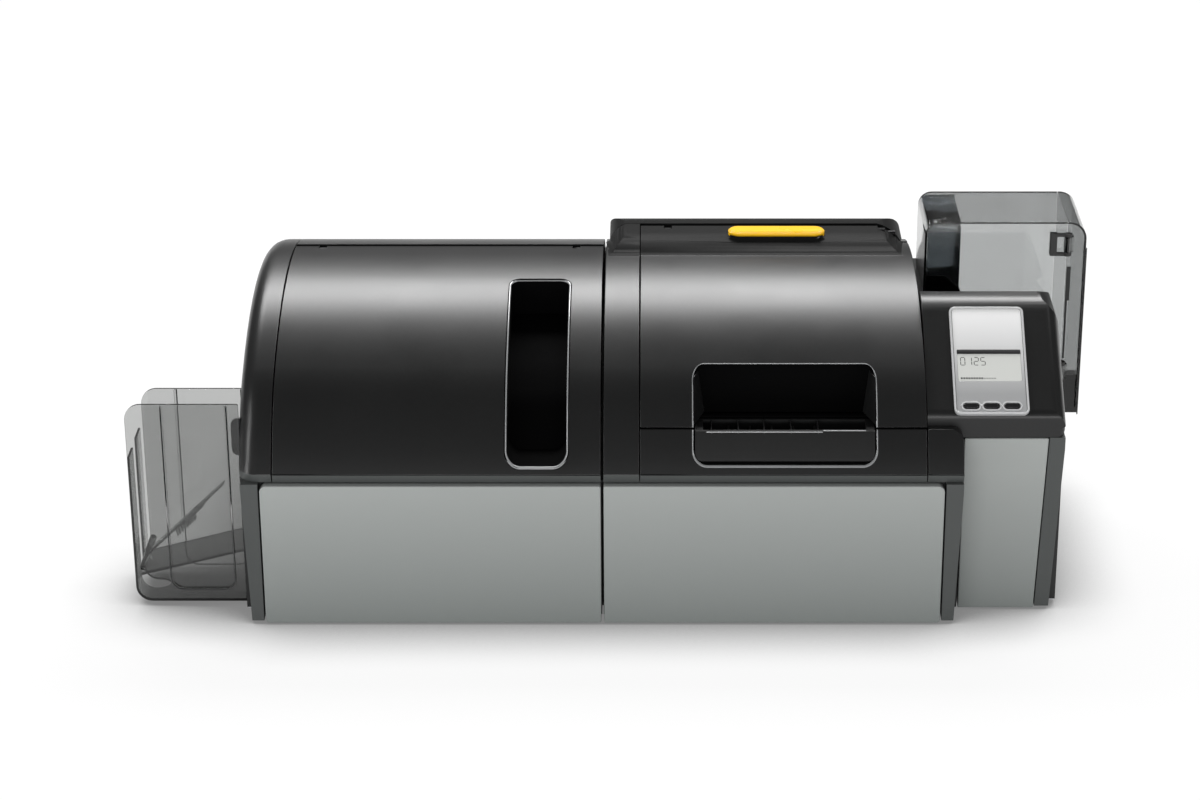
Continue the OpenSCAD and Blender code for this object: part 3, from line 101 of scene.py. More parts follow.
def length(label, default, text):
    return FloatProperty(
        name=label, description=text, subtype="DISTANCE", unit="LENGTH", min=0, default=default
    )


def amount(label, default, text):
    return FloatProperty(name=label, description=text, subtype="FACTOR", min=0, max=1, default=default)


class PrinterFinishes(bpy.types.PropertyGroup):
    black: colour("Black plastic", (0.0066, 0.0068, 0.0070), "Moulded covers and lower bodies")
    frame_gray: colour("Frame gray", (0.046, 0.050, 0.049), "Plastic frames round the front panels")
    # The two panel colours are painted light and shade: the panels are one gray, painted paler at the top and
    # darker at the foot for the light that falls on them.
    panel_painted_light: colour("Panel, upper", (0.285, 0.300, 0.292), "Front panels near their top edge")
    panel_painted_shade: colour("Panel, lower", (0.175, 0.190, 0.184), "Front panels near their foot")
    smoke: colour("Smoked plastic", (0.86, 0.87, 0.87), "Clear hopper shell")
    smoke_door: colour("Door smoke", (0.66, 0.67, 0.67), "Clear side door of the hopper")
    smoke_bin: colour("Bin smoke", (0.64, 0.645, 0.64), "Clear bin, its ramp and the card arm")
    smoke_depth: FloatProperty(
        name="Smoke", description="Absorption per metre of smoked plastic", min=0, default=130.0
    )
    # The two silver colours are painted light and shade across the bezel, not two tones of the silver.
    silver_painted_light: colour("Silver, upper", (1.0, 1.0, 1.0), "Control bezel above the display")
    silver_painted_shade: colour("Silver, lower", (0.40, 0.405, 0.41), "Control bezel round the keys")
    display: colour("Display", (0.60, 0.61, 0.585), "Display window")
    # The rim colour is partly real and partly painted: the rims' gloss is their own, and their paler gray is
    # a painted highlight for the light line that the rounded rims catch.
    rim: colour("Rims, painted highlight", (0.24, 0.245, 0.25), "Rounded rims of the hand and grip recesses")
    yellow: colour("Release yellow", (0.95, 0.53, 0.003), "Release button")
    heated: colour("Silicone", (0.36, 0.12, 0.08), "Sleeves of the two heated rollers")
    black_rough: amount("Black roughness", 0.30, "Roughness of the moulded covers")
    panel_rough: amount("Panel roughness", 0.40, "Roughness of the gray paint")


class PrinterEdges(bpy.types.PropertyGroup):
    cover: length("Cover edges", 1.2 * MM, "Rounding of the big covers' edges")
    seam: length("Seam edges", 0.8 * MM, "Rounding of the covers along their seams")
    rim: length("Recess rims", 1.8 * MM, "Rounding round the hand recess")
    tower: length("Tower's side", 8.0 * MM, "Rounding between the feeder tower's slope and its side")
    panel: length("Panel edges", 1.2 * MM, "Rounding of the gray front panels")
    small: length("Small edges", 0.6 * MM, "Rounding of small moulded pieces")
    sheet: length("Sheet edges", 0.25 * MM, "Rounding of clear sheets and metal plates")
    segments: IntProperty(name="Steps", description="Steps in each rounded edge", min=1, max=6, default=3)


class PrinterStudio(bpy.types.PropertyGroup):
    floor: colour("Floor", (0.86, 0.86, 0.86), "Plain pale floor")
    world: amount("World", 0.40, "Strength of the even light from all round")
    mirrored: amount("Mirrored room", 0.12, "Strength of the studio as gloss mirrors it")
    # Reach of the painted contact shadow on the floor.
    painted_shadow_reach: length("Painted contact shadow", 95 * MM, "How far the shadow at the object's foot reaches")
    background: amount("Background", 0.90, "How far the floor is lifted to white behind the object")


# ------------------------------------------------------------------ small tools


def finishes():
    return bpy.context.scene.printer_finishes


def edges():
    return bpy.context.scene.printer_edges


def piece_from(bm, name, material, body, smooth=True, place=None):
    """A finished object from a bmesh: at the origin, riding on its body, with its own material."""
    if place is not None:
        bmesh.ops.transform(bm, matrix=place, verts=bm.verts)
    mesh = bpy.data.meshes.new(name)
    bm.to_mesh(mesh)
    bm.free()
    for face in mesh.polygons:
        face.use_smooth = smooth
    piece = bpy.data.objects.new(name, mesh)
    bpy.context.scene.collection.objects.link(piece)
    piece.data.materials.append(material)
    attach(piece, body)
    return piece


def even_normals(piece, angle=math.radians(40)):
    """Wide faces keep their shading flat beside the small faces of a rounded edge."""
    piece.data.set_sharp_from_angle(angle=angle)
    weighted = piece.modifiers.new("Even normals", "WEIGHTED_NORMAL")
    weighted.keep_sharp = True
    weighted.weight = 60


def merged_copy(node):
    """A bmesh of a CAD node with its loose triangles joined into whole faces."""
    bm = bmesh.new()
    bm.from_mesh(frame["nodes"][node].data)
    bmesh.ops.remove_doubles(bm, verts=bm.verts, dist=0.004 * MM)
    bmesh.ops.dissolve_limit(
        bm, angle_limit=math.radians(0.2), verts=bm.verts, edges=bm.edges, use_dissolve_boundaries=False
    )
    return bm


def round_these(bm, chosen, width, segments, clamp=False):
    """Bevels the given edges and returns the rounded faces."""
    made = bmesh.ops.bevel(
        bm,
        geom=chosen,
        offset=width,
        offset_type="OFFSET",
        segments=segments,
        profile=0.5,
        affect="EDGES",
        clamp_overlap=clamp,
        material=-1,
    )
    return made["faces"]


def crisp_edges(bm, sharper_than=math.radians(28)):
    return [e for e in bm.edges if len(e.link_faces) == 2 and e.calc_face_angle(0) > sharper_than]


def round_edges(bm, width, segments, clamp=True):
    return round_these(bm, crisp_edges(bm), width, segments, clamp)


def on_profile(point):
    return any(abs(math.hypot(point.y - y, point.z - z) - r) < 0.3 * MM for y, z, r in PROFILE)


def skin_edge(left, right):
    """Tests for an edge that lies on the covers' outer face between two places along X."""

    def test(edge):
        return all(on_profile(v.co) and left - 0.4 * MM < v.co.x < right + 0.4 * MM for v in edge.verts)

    return test


def hump_foot(edge):
    """Tests for an edge of the hollow line where the hump rises from the covers."""
    hollow = edge.calc_face_angle_signed(0) < 0
    return hollow and all(v.co.z > HUMP_LOW and v.co.y > HUMP_FOOT_FRONT for v in edge.verts)


def body_of_node(node):
    for body, nodes in frame["record"]["behaviour"]["bodies"].items():
        if node in nodes:
            return body
    raise RuntimeError("no body holds " + node)


def dress(node, material, width, segments=None, rims=(), paints=(), clamp=True):
    """Stands for a CAD node with the same form and softly rounded edges.

    rims holds (width, edge test, finish or None) for edges with a rounding of their own,
    and paints holds (finish, face test) for faces with a finish of their own.
    """
    bm = merged_copy(node)
    steps = segments or edges().segments
    finishes_used = [material]
    for rim_width, chooses, finish in rims:
        faces = round_these(bm, [e for e in crisp_edges(bm) if chooses(e)], rim_width, 5)
        if finish:
            finishes_used.append(finish)
            for face in faces:
                face.material_index = len(finishes_used) - 1
    if width > 0:
        round_edges(bm, width, steps, clamp)
    for finish, chooses in paints:
        finishes_used.append(finish)
        for face in bm.faces:
            if chooses(face.calc_center_median(), face.normal):
                face.material_index = len(finishes_used) - 1
    piece = piece_from(bm, "skin_" + node, material, body_of_node(node))
    for finish in finishes_used[1:]:
        piece.data.materials.append(finish)
    even_normals(piece)
    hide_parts(node)
    return piece


def plate_face(bm, width, height, corner):
    """Flat face with round corners, centred in the XY plane."""
    verts = bmesh.ops.create_grid(bm, x_segments=1, y_segments=1, size=0.5)["verts"]
    bmesh.ops.scale(bm, vec=(width, height, 1), verts=verts)
    if corner > 0:
        bmesh.ops.bevel(
            bm,
            geom=verts,
            offset=corner,
            offset_type="OFFSET",
            segments=8,
            profile=0.5,
            affect="VERTICES",
            clamp_overlap=True,
            material=-1,
        )
    return list(bm.faces)[-1]


def raised(bm, faces, height):
    """Extrudes faces along Z and returns the new top faces."""
    made = bmesh.ops.extrude_face_region(bm, geom=faces)["geom"]
    bmesh.ops.translate(bm, vec=(0, 0, height), verts=[g for g in made if isinstance(g, bmesh.types.BMVert)])
    return [g for g in made if isinstance(g, bmesh.types.BMFace)]


def plate(width, height, corner, thick, soft):
    """Solid plate with round corners and rounded edges, standing on the XY plane."""
    bm = bmesh.new()
    raised(bm, [plate_face(bm, width, height, corner)], thick)
    bmesh.ops.recalc_face_normals(bm, faces=bm.faces)
    if soft > 0:
        round_edges(bm, soft, 2, False)
    return bm


def ring(width, height, corner, band, thick, soft):
    """Frame of one width with round corners, standing on the XY plane."""
    bm = bmesh.new()
    face = plate_face(bm, width, height, corner)
    bmesh.ops.inset_region(bm, faces=[face], thickness=band, use_even_offset=True, use_boundary=True)
    bmesh.ops.delete(bm, geom=[face], context="FACES")
    raised(bm, list(bm.faces), thick)
    bmesh.ops.recalc_face_normals(bm, faces=bm.faces)
    if soft > 0:
        round_edges(bm, soft, 3, False)
    return bm


def upright_loop(centre, width, height, corner, band, top):
    """U-shaped loop standing in the XZ plane round a point, cut off level at its top."""
    bm = ring(width, height, corner, band, 0.8 * MM, 0.25 * MM)
    turn = Matrix.Translation(centre) @ Matrix.Rotation(QUARTER, 4, "X")
    bmesh.ops.transform(bm, matrix=turn, verts=bm.verts)
    parts = [*bm.verts, *bm.edges, *bm.faces]
    cut = bmesh.ops.bisect_plane(bm, geom=parts, plane_co=(0, 0, top), plane_no=(0, 0, 1), clear_outer=True)
    bmesh.ops.holes_fill(bm, edges=[g for g in cut["geom_cut"] if isinstance(g, bmesh.types.BMEdge)])
    return bm


def gather(into, bm, matrix=None):
    """Adds one bmesh to another, put in its place, and frees it."""
    if matrix is not None:
        bmesh.ops.transform(bm, matrix=matrix, verts=bm.verts)
    mesh = bpy.data.meshes.new("part")
    bm.to_mesh(mesh)
    bm.free()
    into.from_mesh(mesh)
    bpy.data.meshes.remove(mesh)


def slope_span(node):
    """Lowest and highest place of a node along X, up the tower's slope and out of it."""
    up, out = slope_axes()
    places = [(v.co.x, v.co.dot(up), v.co.dot(out)) for v in frame["nodes"][node].data.vertices]
    return [min(p[i] for p in places) for i in range(3)], [max(p[i] for p in places) for i in range(3)]


def slope_axes():
    return Vector((0, math.cos(SLOPE), math.sin(SLOPE))), Vector((0, -math.sin(SLOPE), math.cos(SLOPE)))


def on_slope(x, up, out):
    """Places a flat piece on the slope: X along the machine, Y up the slope, Z out of it."""
    up_axis, out_axis = slope_axes()
    place = Vector((x, 0, 0)) + up_axis * up + out_axis * out
    turn = Matrix(((1, 0, 0), (0, up_axis.y, out_axis.y), (0, up_axis.z, out_axis.z))).to_4x4()
    return Matrix.Translation(place) @ turn


# ------------------------------------------------------------------ shared effects


def effect_group(name, inputs, outputs):
    group = bpy.data.node_groups.new(name, "ShaderNodeTree")
    for label, kind, default in inputs:
        socket = group.interface.new_socket(name=label, in_out="INPUT", socket_type=kind)
        if default is not None:
            socket.default_value = default
    for label, kind in outputs:
        group.interface.new_socket(name=label, in_out="OUTPUT", socket_type=kind)
    enter = group.nodes.new("NodeGroupInput")
    leave = group.nodes.new("NodeGroupOutput")
    return group, enter, leave


def math_node(tree, operation, a, b):
    node = tree.nodes.new("ShaderNodeMath")
    node.operation = operation
    for i, value in enumerate((a, b)):
        if isinstance(value, (int, float)):
            node.inputs[i].default_value = value
        else:
            tree.links.new(value, node.inputs[i])
    return node.outputs[0]


def noise_node(tree, vector, scale, detail=2.0, rough=0.5):
    node = tree.nodes.new("ShaderNodeTexNoise")
    node.inputs["Detail"].default_value = detail
    node.inputs["Roughness"].default_value = rough
    if isinstance(scale, (int, float)):
        node.inputs["Scale"].default_value = scale
    else:
        tree.links.new(scale, node.inputs["Scale"])
    tree.links.new(vector, node.inputs["Vector"])
    return node.outputs["Fac"]


def moulded_skin():
    """Spark-eroded mould grain and handled patches."""
    group, enter, leave = effect_group(
        "Moulded skin",
        [
            ("Vector", "NodeSocketVector", None),
            ("Grain", "NodeSocketFloat", 1500.0),
            ("Patch", "NodeSocketFloat", 7.0),
        ],
        [("Height", "NodeSocketFloat"), ("Handled", "NodeSocketFloat")],
    )
    grain = noise_node(group, enter.outputs["Vector"], enter.outputs["Grain"], 3.0, 0.6)
    patch = noise_node(group, enter.outputs["Vector"], enter.outputs["Patch"], 4.0, 0.55)
    shaped = math_node(group, "SMOOTH_MIN", math_node(group, "MULTIPLY", patch, 1.4), 1.0)
    group.links.new(grain, leave.inputs["Height"])
    group.links.new(shaped, leave.inputs["Handled"])
    return group


def settled_dust():
    """Fine dust on faces that look up, thinned out by noise."""
    group, enter, leave = effect_group(
        "Settled dust",
        [("Vector", "NodeSocketVector", None), ("Amount", "NodeSocketFloat", 0.3)],
        [("Dust", "NodeSocketFloat")],
    )
    geometry = group.nodes.new("ShaderNodeNewGeometry")
    split = group.nodes.new("ShaderNodeSeparateXYZ")
    group.links.new(geometry.outputs["Normal"], split.inputs[0])
    up = math_node(group, "MAXIMUM", split.outputs["Z"], 0.0)
    specks = noise_node(group, enter.outputs["Vector"], 260.0, 5.0, 0.7)
    clouds = noise_node(group, enter.outputs["Vector"], 9.0, 3.0, 0.5)
    mixed = math_node(group, "MULTIPLY", math_node(group, "MULTIPLY", specks, clouds), up)
    group.links.new(math_node(group, "MULTIPLY", mixed, enter.outputs["Amount"]), leave.inputs["Dust"])
    return group


def brushed_lines():
    """Fine lines drawn out along one axis, as on rolled or brushed sheet metal."""
    group, enter, leave = effect_group(
        "Brushed lines",
        [("Vector", "NodeSocketVector", None), ("Lines", "NodeSocketFloat", 900.0)],
        [("Height", "NodeSocketFloat"), ("Tone", "NodeSocketFloat")],
    )
    stretch = group.nodes.new("ShaderNodeMapping")
    stretch.inputs["Scale"].default_value = (0.02, 1.0, 1.0)
    group.links.new(enter.outputs["Vector"], stretch.inputs["Vector"])
    lines = noise_node(group, stretch.outputs[0], enter.outputs["Lines"], 2.0, 0.5)
    tone = noise_node(group, enter.outputs["Vector"], 14.0, 3.0, 0.5)
    group.links.new(lines, leave.inputs["Height"])
    group.links.new(tone, leave.inputs["Tone"])
    return group


def wound_layers():
    """Rings round the Y axis of one spool, as the edges of wound film show them."""
    group, enter, leave = effect_group(
        "Wound layers",
        [("Vector", "NodeSocketVector", None), ("Layers", "NodeSocketFloat", 1200.0)],
        [("Rings", "NodeSocketFloat")],
    )
    split = group.nodes.new("ShaderNodeSeparateXYZ")
    group.links.new(enter.outputs["Vector"], split.inputs[0])
    across = math_node(group, "MULTIPLY", split.outputs["X"], split.outputs["X"])
    along = math_node(group, "MULTIPLY", split.outputs["Z"], split.outputs["Z"])
    radius = math_node(group, "SQRT", math_node(group, "ADD", across, along), 0.0)
    rings = math_node(group, "SINE", math_node(group, "MULTIPLY", radius, enter.outputs["Layers"]), 0.0)
    lifted = math_node(group, "MULTIPLY", math_node(group, "ADD", rings, 1.0), 0.5)
    group.links.new(lifted, leave.inputs["Rings"])
    return group


EFFECTS = {}


def effect(name):
    if name not in EFFECTS:
        EFFECTS[name] = {
            "moulded skin": moulded_skin,
            "settled dust": settled_dust,
            "brushed lines": brushed_lines,
            "wound layers": wound_layers,
        }[name]()
    return EFFECTS[name]


# ------------------------------------------------------------------ materials


class Finish:
    """One material with its shader, object coordinates and the shared effects put in."""

    def __init__(self, name, rough=0.5, metal=0.0, specular=0.5):
        self.material = bpy.data.materials.new(name)
        self.material.use_nodes = True
        self.tree = self.material.node_tree
        self.shader = self.tree.nodes["Principled BSDF"]
        self.shader.inputs["Roughness"].default_value = rough
        self.shader.inputs["Metallic"].default_value = metal
        self.shader.inputs["Specular IOR Level"].default_value = specular
        self.place = self.tree.nodes.new("ShaderNodeTexCoord").outputs["Object"]

    def centred(self, centre):
        """Moves the pattern's middle to a point of the piece."""
        mapping = self.tree.nodes.new("ShaderNodeMapping")
        mapping.inputs["Location"].default_value = [-c for c in centre]
        self.tree.links.new(self.place, mapping.inputs["Vector"])
        self.place = mapping.outputs[0]
        return self

    def put(self, name, **values):
        """Places a shared effect and feeds it the piece's coordinates."""
        node = self.tree.nodes.new("ShaderNodeGroup")
        node.node_tree = effect(name)
        self.tree.links.new(self.place, node.inputs["Vector"])
        for key, value in values.items():
            node.inputs[key].default_value = value
        return node

    def blend_colours(self, mask, low, high):
        mix = self.tree.nodes.new("ShaderNodeMix")
        mix.data_type = "RGBA"
        self.tree.links.new(mask, mix.inputs["Factor"])
        for socket, value in ((mix.inputs[6], low), (mix.inputs[7], high)):
            if isinstance(value, bpy.types.NodeSocket):
                self.tree.links.new(value, socket)
            else:
                socket.default_value = (*value, 1)
        return mix.outputs[2]

    def spread(self, mask, low, high, start=0.3, end=0.7):
        """A mask stretched from one value to another."""
        span = self.tree.nodes.new("ShaderNodeMapRange")
        self.tree.links.new(mask, span.inputs["Value"])
        span.inputs["From Min"].default_value = start
        span.inputs["From Max"].default_value = end
        span.inputs["To Min"].default_value = low
        span.inputs["To Max"].default_value = high
        return span.outputs[0]

    def varied(self, mask, base, low, high):
        """The base colour a shade darker and paler from patch to patch."""
        return self.blend_colours(self.spread(mask, 0, 1), tinted(base, low), tinted(base, high))

    def rising(self, low_z, high_z, low, high):
        """One colour low on the piece and another high on it."""
        split = self.tree.nodes.new("ShaderNodeSeparateXYZ")
        self.tree.links.new(self.place, split.inputs[0])
        rise = self.spread(split.outputs["Z"], 0, 1, low_z, high_z)
        return self.blend_colours(rise, tuple(low), tuple(high))

    def coat(self, weight, rough):
        self.shader.inputs["Coat Weight"].default_value = weight
        self.shader.inputs["Coat Roughness"].default_value = rough

    def bump(self, height, depth, strength):
        node = self.tree.nodes.new("ShaderNodeBump")
        node.inputs["Distance"].default_value = depth
        node.inputs["Strength"].default_value = strength
        self.tree.links.new(height, node.inputs["Height"])
        self.tree.links.new(node.outputs[0], self.shader.inputs["Normal"])

    def feed(self, socket, value):
        self.tree.links.new(value, self.shader.inputs[socket])


def tinted(value, factor):
    return tuple(min(1.0, c * factor) for c in value)


def plastic(name, base, rough, grain=1400.0, depth=0.02 * MM, specular=0.4, dust=0.04):
    finish = Finish(name, rough, specular=specular)
    skin = finish.put("moulded skin", Grain=grain, Patch=6.0)
    handled = skin.outputs["Handled"]
    shade = finish.varied(handled, base, 0.92, 1.1)
    layer = finish.put("settled dust", Amount=dust)
    finish.feed("Base Color", finish.blend_colours(layer.outputs["Dust"], shade, (0.35, 0.34, 0.32)))
    finish.feed("Roughness", finish.spread(handled, rough * 0.9, rough * 1.12))
    finish.bump(skin.outputs["Height"], depth, 0.5)
    return finish.material


def panel_paint(name, low_z, high_z):
    """Satin gray paint with a painted light gradient: paler towards the top and darker towards the foot, in
    place of how the light falls on the panels.
    """
    settings = finishes()
    finish = Finish(name, settings.panel_rough, specular=0.5)
    skin = finish.put("moulded skin", Grain=2200.0, Patch=5.0)
    finish.feed("Base Color", finish.rising(low_z, high_z, settings.panel_painted_shade, settings.panel_painted_light))
    rough = settings.panel_rough
    finish.feed("Roughness", finish.spread(skin.outputs["Handled"], rough * 0.92, rough * 1.1))
    finish.bump(skin.outputs["Height"], 0.012 * MM, 0.5)
    return finish.material


def smoked_plastic(name, base):
    """Clear plastic whose tint deepens with its thickness, so that sheets are pale and edges dark."""
    settings = finishes()
    finish = Finish(name, 0.03, specular=0.5)
    finish.shader.inputs["Transmission Weight"].default_value = 1.0
    finish.shader.inputs["IOR"].default_value = 1.49
    skin = finish.put("moulded skin", Grain=900.0, Patch=12.0)
    finish.feed("Base Color", finish.varied(skin.outputs["Handled"], base, 0.97, 1.03))
    finish.feed("Roughness", finish.spread(skin.outputs["Handled"], 0.02, 0.05))
    inside = finish.tree.nodes.new("ShaderNodeVolumeAbsorption")
    inside.inputs["Color"].default_value = (0.03, 0.04, 0.035, 1)
    inside.inputs["Density"].default_value = settings.smoke_depth
    output = finish.tree.nodes["Material Output"]
    finish.tree.links.new(inside.outputs[0], output.inputs["Volume"])
    return finish.material


def silver_finish(name, low_z, high_z):
    """Pearl silver with a painted light gradient: painted paler above the display and darker round the keys,
    in place of the light across the bezel.
    """
    settings = finishes()
    finish = Finish(name, 0.34, metal=0.25, specular=0.5)
    finish.coat(0.5, 0.12)
    skin = finish.put("moulded skin", Grain=2600.0, Patch=9.0)
    tone = finish.rising(low_z, high_z, settings.silver_painted_shade, settings.silver_painted_light)
    speck = finish.spread(skin.outputs["Height"], 0.0, 0.06, 0.35, 0.75)
    finish.feed("Base Color", finish.blend_colours(speck, tone, (1.0, 1.0, 1.0)))
    finish.feed("Roughness", finish.spread(skin.outputs["Handled"], 0.3, 0.38))
    finish.bump(skin.outputs["Height"], 0.006 * MM, 0.4)
    return finish.material


def rim_highlight_finish():
    """Smooth rounded rims, glossier than the covers round them, with a painted highlight: their paler gray
    stands in for the light line that the rounded rims catch.
    """
    finish = Finish("Rim with painted highlight", 0.2, specular=0.7)
    finish.coat(0.6, 0.08)
    skin = finish.put("moulded skin", Grain=1800.0, Patch=9.0)
    finish.feed("Base Color", finish.varied(skin.outputs["Handled"], finishes().rim, 0.9, 1.12))
    finish.feed("Roughness", finish.spread(skin.outputs["Handled"], 0.17, 0.25))
    return finish.material


def metal(name, base, rough, lines=900.0):
    finish = Finish(name, rough, metal=1.0)
    brushed = finish.put("brushed lines", Lines=lines)
    finish.feed("Base Color", finish.varied(brushed.outputs["Tone"], base, 0.9, 1.06))
    finish.feed("Roughness", finish.spread(brushed.outputs["Height"], rough * 0.8, rough * 1.25))
    finish.bump(brushed.outputs["Height"], 0.01 * MM, 0.4)
    return finish.material


def rubber(name, base, rough=0.7):
    finish = Finish(name, rough, specular=0.3)
    skin = finish.put("moulded skin", Grain=800.0, Patch=30.0)
    finish.feed("Base Color", finish.varied(skin.outputs["Handled"], base, 0.8, 1.25))
    finish.feed("Roughness", finish.spread(skin.outputs["Handled"], rough * 0.9, rough * 1.1))
    finish.bump(skin.outputs["Height"], 0.05 * MM, 0.5)
    return finish.material


def wound_film(name, centre, base, edge):
    """Film wound on a core: smooth round its side, with fine rings on its ends."""
    finish = Finish(name, 0.22, specular=0.6).centred(centre)
    wound = finish.put("wound layers", Layers=9000.0)
    finish.feed("Base Color", finish.blend_colours(wound.outputs["Rings"], base, edge))
    finish.feed("Roughness", finish.spread(wound.outputs["Rings"], 0.2, 0.4, 0, 1))
    finish.bump(wound.outputs["Rings"], 0.05 * MM, 0.4)
    return finish.material


def painted_finish(name, base, rough, coat=0.0):
    finish = Finish(name, rough)
    finish.shader.inputs["Coat Weight"].default_value = coat
    skin = finish.put("moulded skin", Grain=1800.0, Patch=9.0)
    finish.feed("Base Color", finish.varied(skin.outputs["Handled"], base, 0.96, 1.03))
    finish.feed("Roughness", finish.spread(skin.outputs["Handled"], rough * 0.9, rough * 1.15))
    finish.bump(skin.outputs["Height"], 0.008 * MM, 0.4)
    return finish.material


# ------------------------------------------------------------------ operators


def lip_face(place, normal):
    """Faces of the band that runs along the foot of every cover, above the front panels."""
    return LIP_LOW < place.z < LIP_TOP and abs(normal.z) < 0.92 and normal.y < 0.3


def hump_face(place, normal):
    """Faces of the raised hump, above the covers' own profile, which get the painted shade."""
    y, z, radius = PROFILE[2]
    above = math.hypot(place.y - y, place.z - z) - radius
    return above > 0.06 * MM and -0.1 < place.y < 0.3 and place.z > 0.27 and normal.z > 0.1


class PRINTER_OT_covers(bpy.types.Operator):
    """Curved covers, end cap, strip and rear housings in satin black"""

    bl_idname = "printer.covers"
    bl_label = "Covers"

    def execute(self, context):
        settings = finishes()
        black = plastic("Satin black plastic", tuple(settings.black), settings.black_rough)
        band = plastic("Dark gray band", tuple(settings.frame_gray), 0.4, grain=1100.0, dust=0.0)
        # Recess rims with a painted highlight in their paler gray.
        rim = rim_highlight_finish()
        # Painted shade: the insides of the hand and grip recesses are painted near-black with almost no
        # gloss, for the shade deep in the recesses.
        inside = (0.0016, 0.0016, 0.0017)
        hollow = plastic("Painted shade in recesses", inside, 0.75, grain=700.0, specular=0.03, dust=0.0)
        cheeks = bmesh.new()
        for side in (1, -1):
            gather(cheeks, recess_cheek(side))
        piece_from(cheeks, "hand_recess_cheeks", black, "main_cover", smooth=False)
        # Painted shade: the hump is painted darker than the covers and given less gloss, so that its slope
        # shows no second highlight.
        hump = plastic("Hump in painted shade", tinted(settings.black, 0.6), 0.46, specular=0.05)
        lips = [(band, lip_face)]
        hand = skin_edge(HAND_LEFT, HAND_RIGHT)
        grip = skin_edge(GRIP_LEFT, GRIP_RIGHT)
        seam = (edges().seam, skin_edge(-1, 1), None)

        # Faces inside the hand recess, which get the painted shade.
        def in_hand(place, normal):
            between = HAND_LEFT - 3 * MM < place.x < HAND_RIGHT + 3 * MM
            deep = RECESS_FRONT < place.y < RECESS_BACK and place.z > RECESS_LOW
            return between and deep and not on_profile(place)

        dress(
            "main_cover",
            black,
            edges().small,
            rims=[(HUMP_FOOT_ROUND, hump_foot, None), (edges().rim, hand, rim), seam],
            paints=[(hump, hump_face), (hollow, in_hand)],
        )
        dress(
            "lower_front",
            black,
            edges().small,
            rims=[(edges().rim, hand, rim), seam],
            paints=[*lips, (hollow, lambda p, n: in_hand(p, n) and n.z > -0.5)],
        )
        around_grip = skin_edge(GRIP_LEFT - 3 * MM, GRIP_RIGHT + 3 * MM)
        around = (GRIP_EDGE, around_grip, None)
        dress("laminator_cover", black, edges().small, rims=[around, seam], paints=lips)
        dress("grip_cup", hollow, 0.2 * MM, rims=[(1.4 * MM, grip, rim)])
        for node in ("laminator_end_cap", "corner_cover"):
            dress(node, black, edges().small, rims=[seam], paints=lips)
        dress(
            "printer_strip",
            black,
            edges().small,
            rims=[(HUMP_FOOT_ROUND, hump_foot, None), seam],
            paints=[*lips, (hump, hump_face)],
        )
        dress("printer_rear_housing", black, edges().cover, paints=[(hump, hump_face)])
        dress("laminator_rear_housing", black, edges().cover)
        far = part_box("tower_housing")[1].x

        def right_front(edge):
            on_front = all(v.co.y < -0.02 and v.co.z > 0.17 for v in edge.verts)
            return on_front and all(abs(v.co.x - far) < 0.3 * MM for v in edge.verts)

        dress("tower_housing", black, edges().cover, rims=[(edges().tower, right_front, None)])
        return {"FINISHED"}


def recess_cheek(side):
    """Sloping side wall of the hand recess; side is 1 at its left end and -1 at its right."""
    bm = bmesh.new()
    edge = (HAND_LEFT if side > 0 else HAND_RIGHT) - side * 0.2 * MM
    foot = [(edge, -0.2205), (edge, -0.1868), (edge + side * 11 * MM, -0.1868)]
    face = bm.faces.new([bm.verts.new((x, y, 0.2014)) for x, y in foot])
    top = bmesh.ops.extrude_face_region(bm, geom=[face])["geom"]
    for vert in (g for g in top if isinstance(g, bmesh.types.BMVert)):
        inner = abs(vert.co.x - edge) > 1 * MM
        front = vert.co.y < -0.2
        vert.co = (edge + (side * 5 * MM if inner else 0), -0.1925 if front else -0.1738, 0.2400)
    bmesh.ops.recalc_face_normals(bm, faces=bm.faces)
    round_edges(bm, 0.5 * MM, 2, False)
    return bm


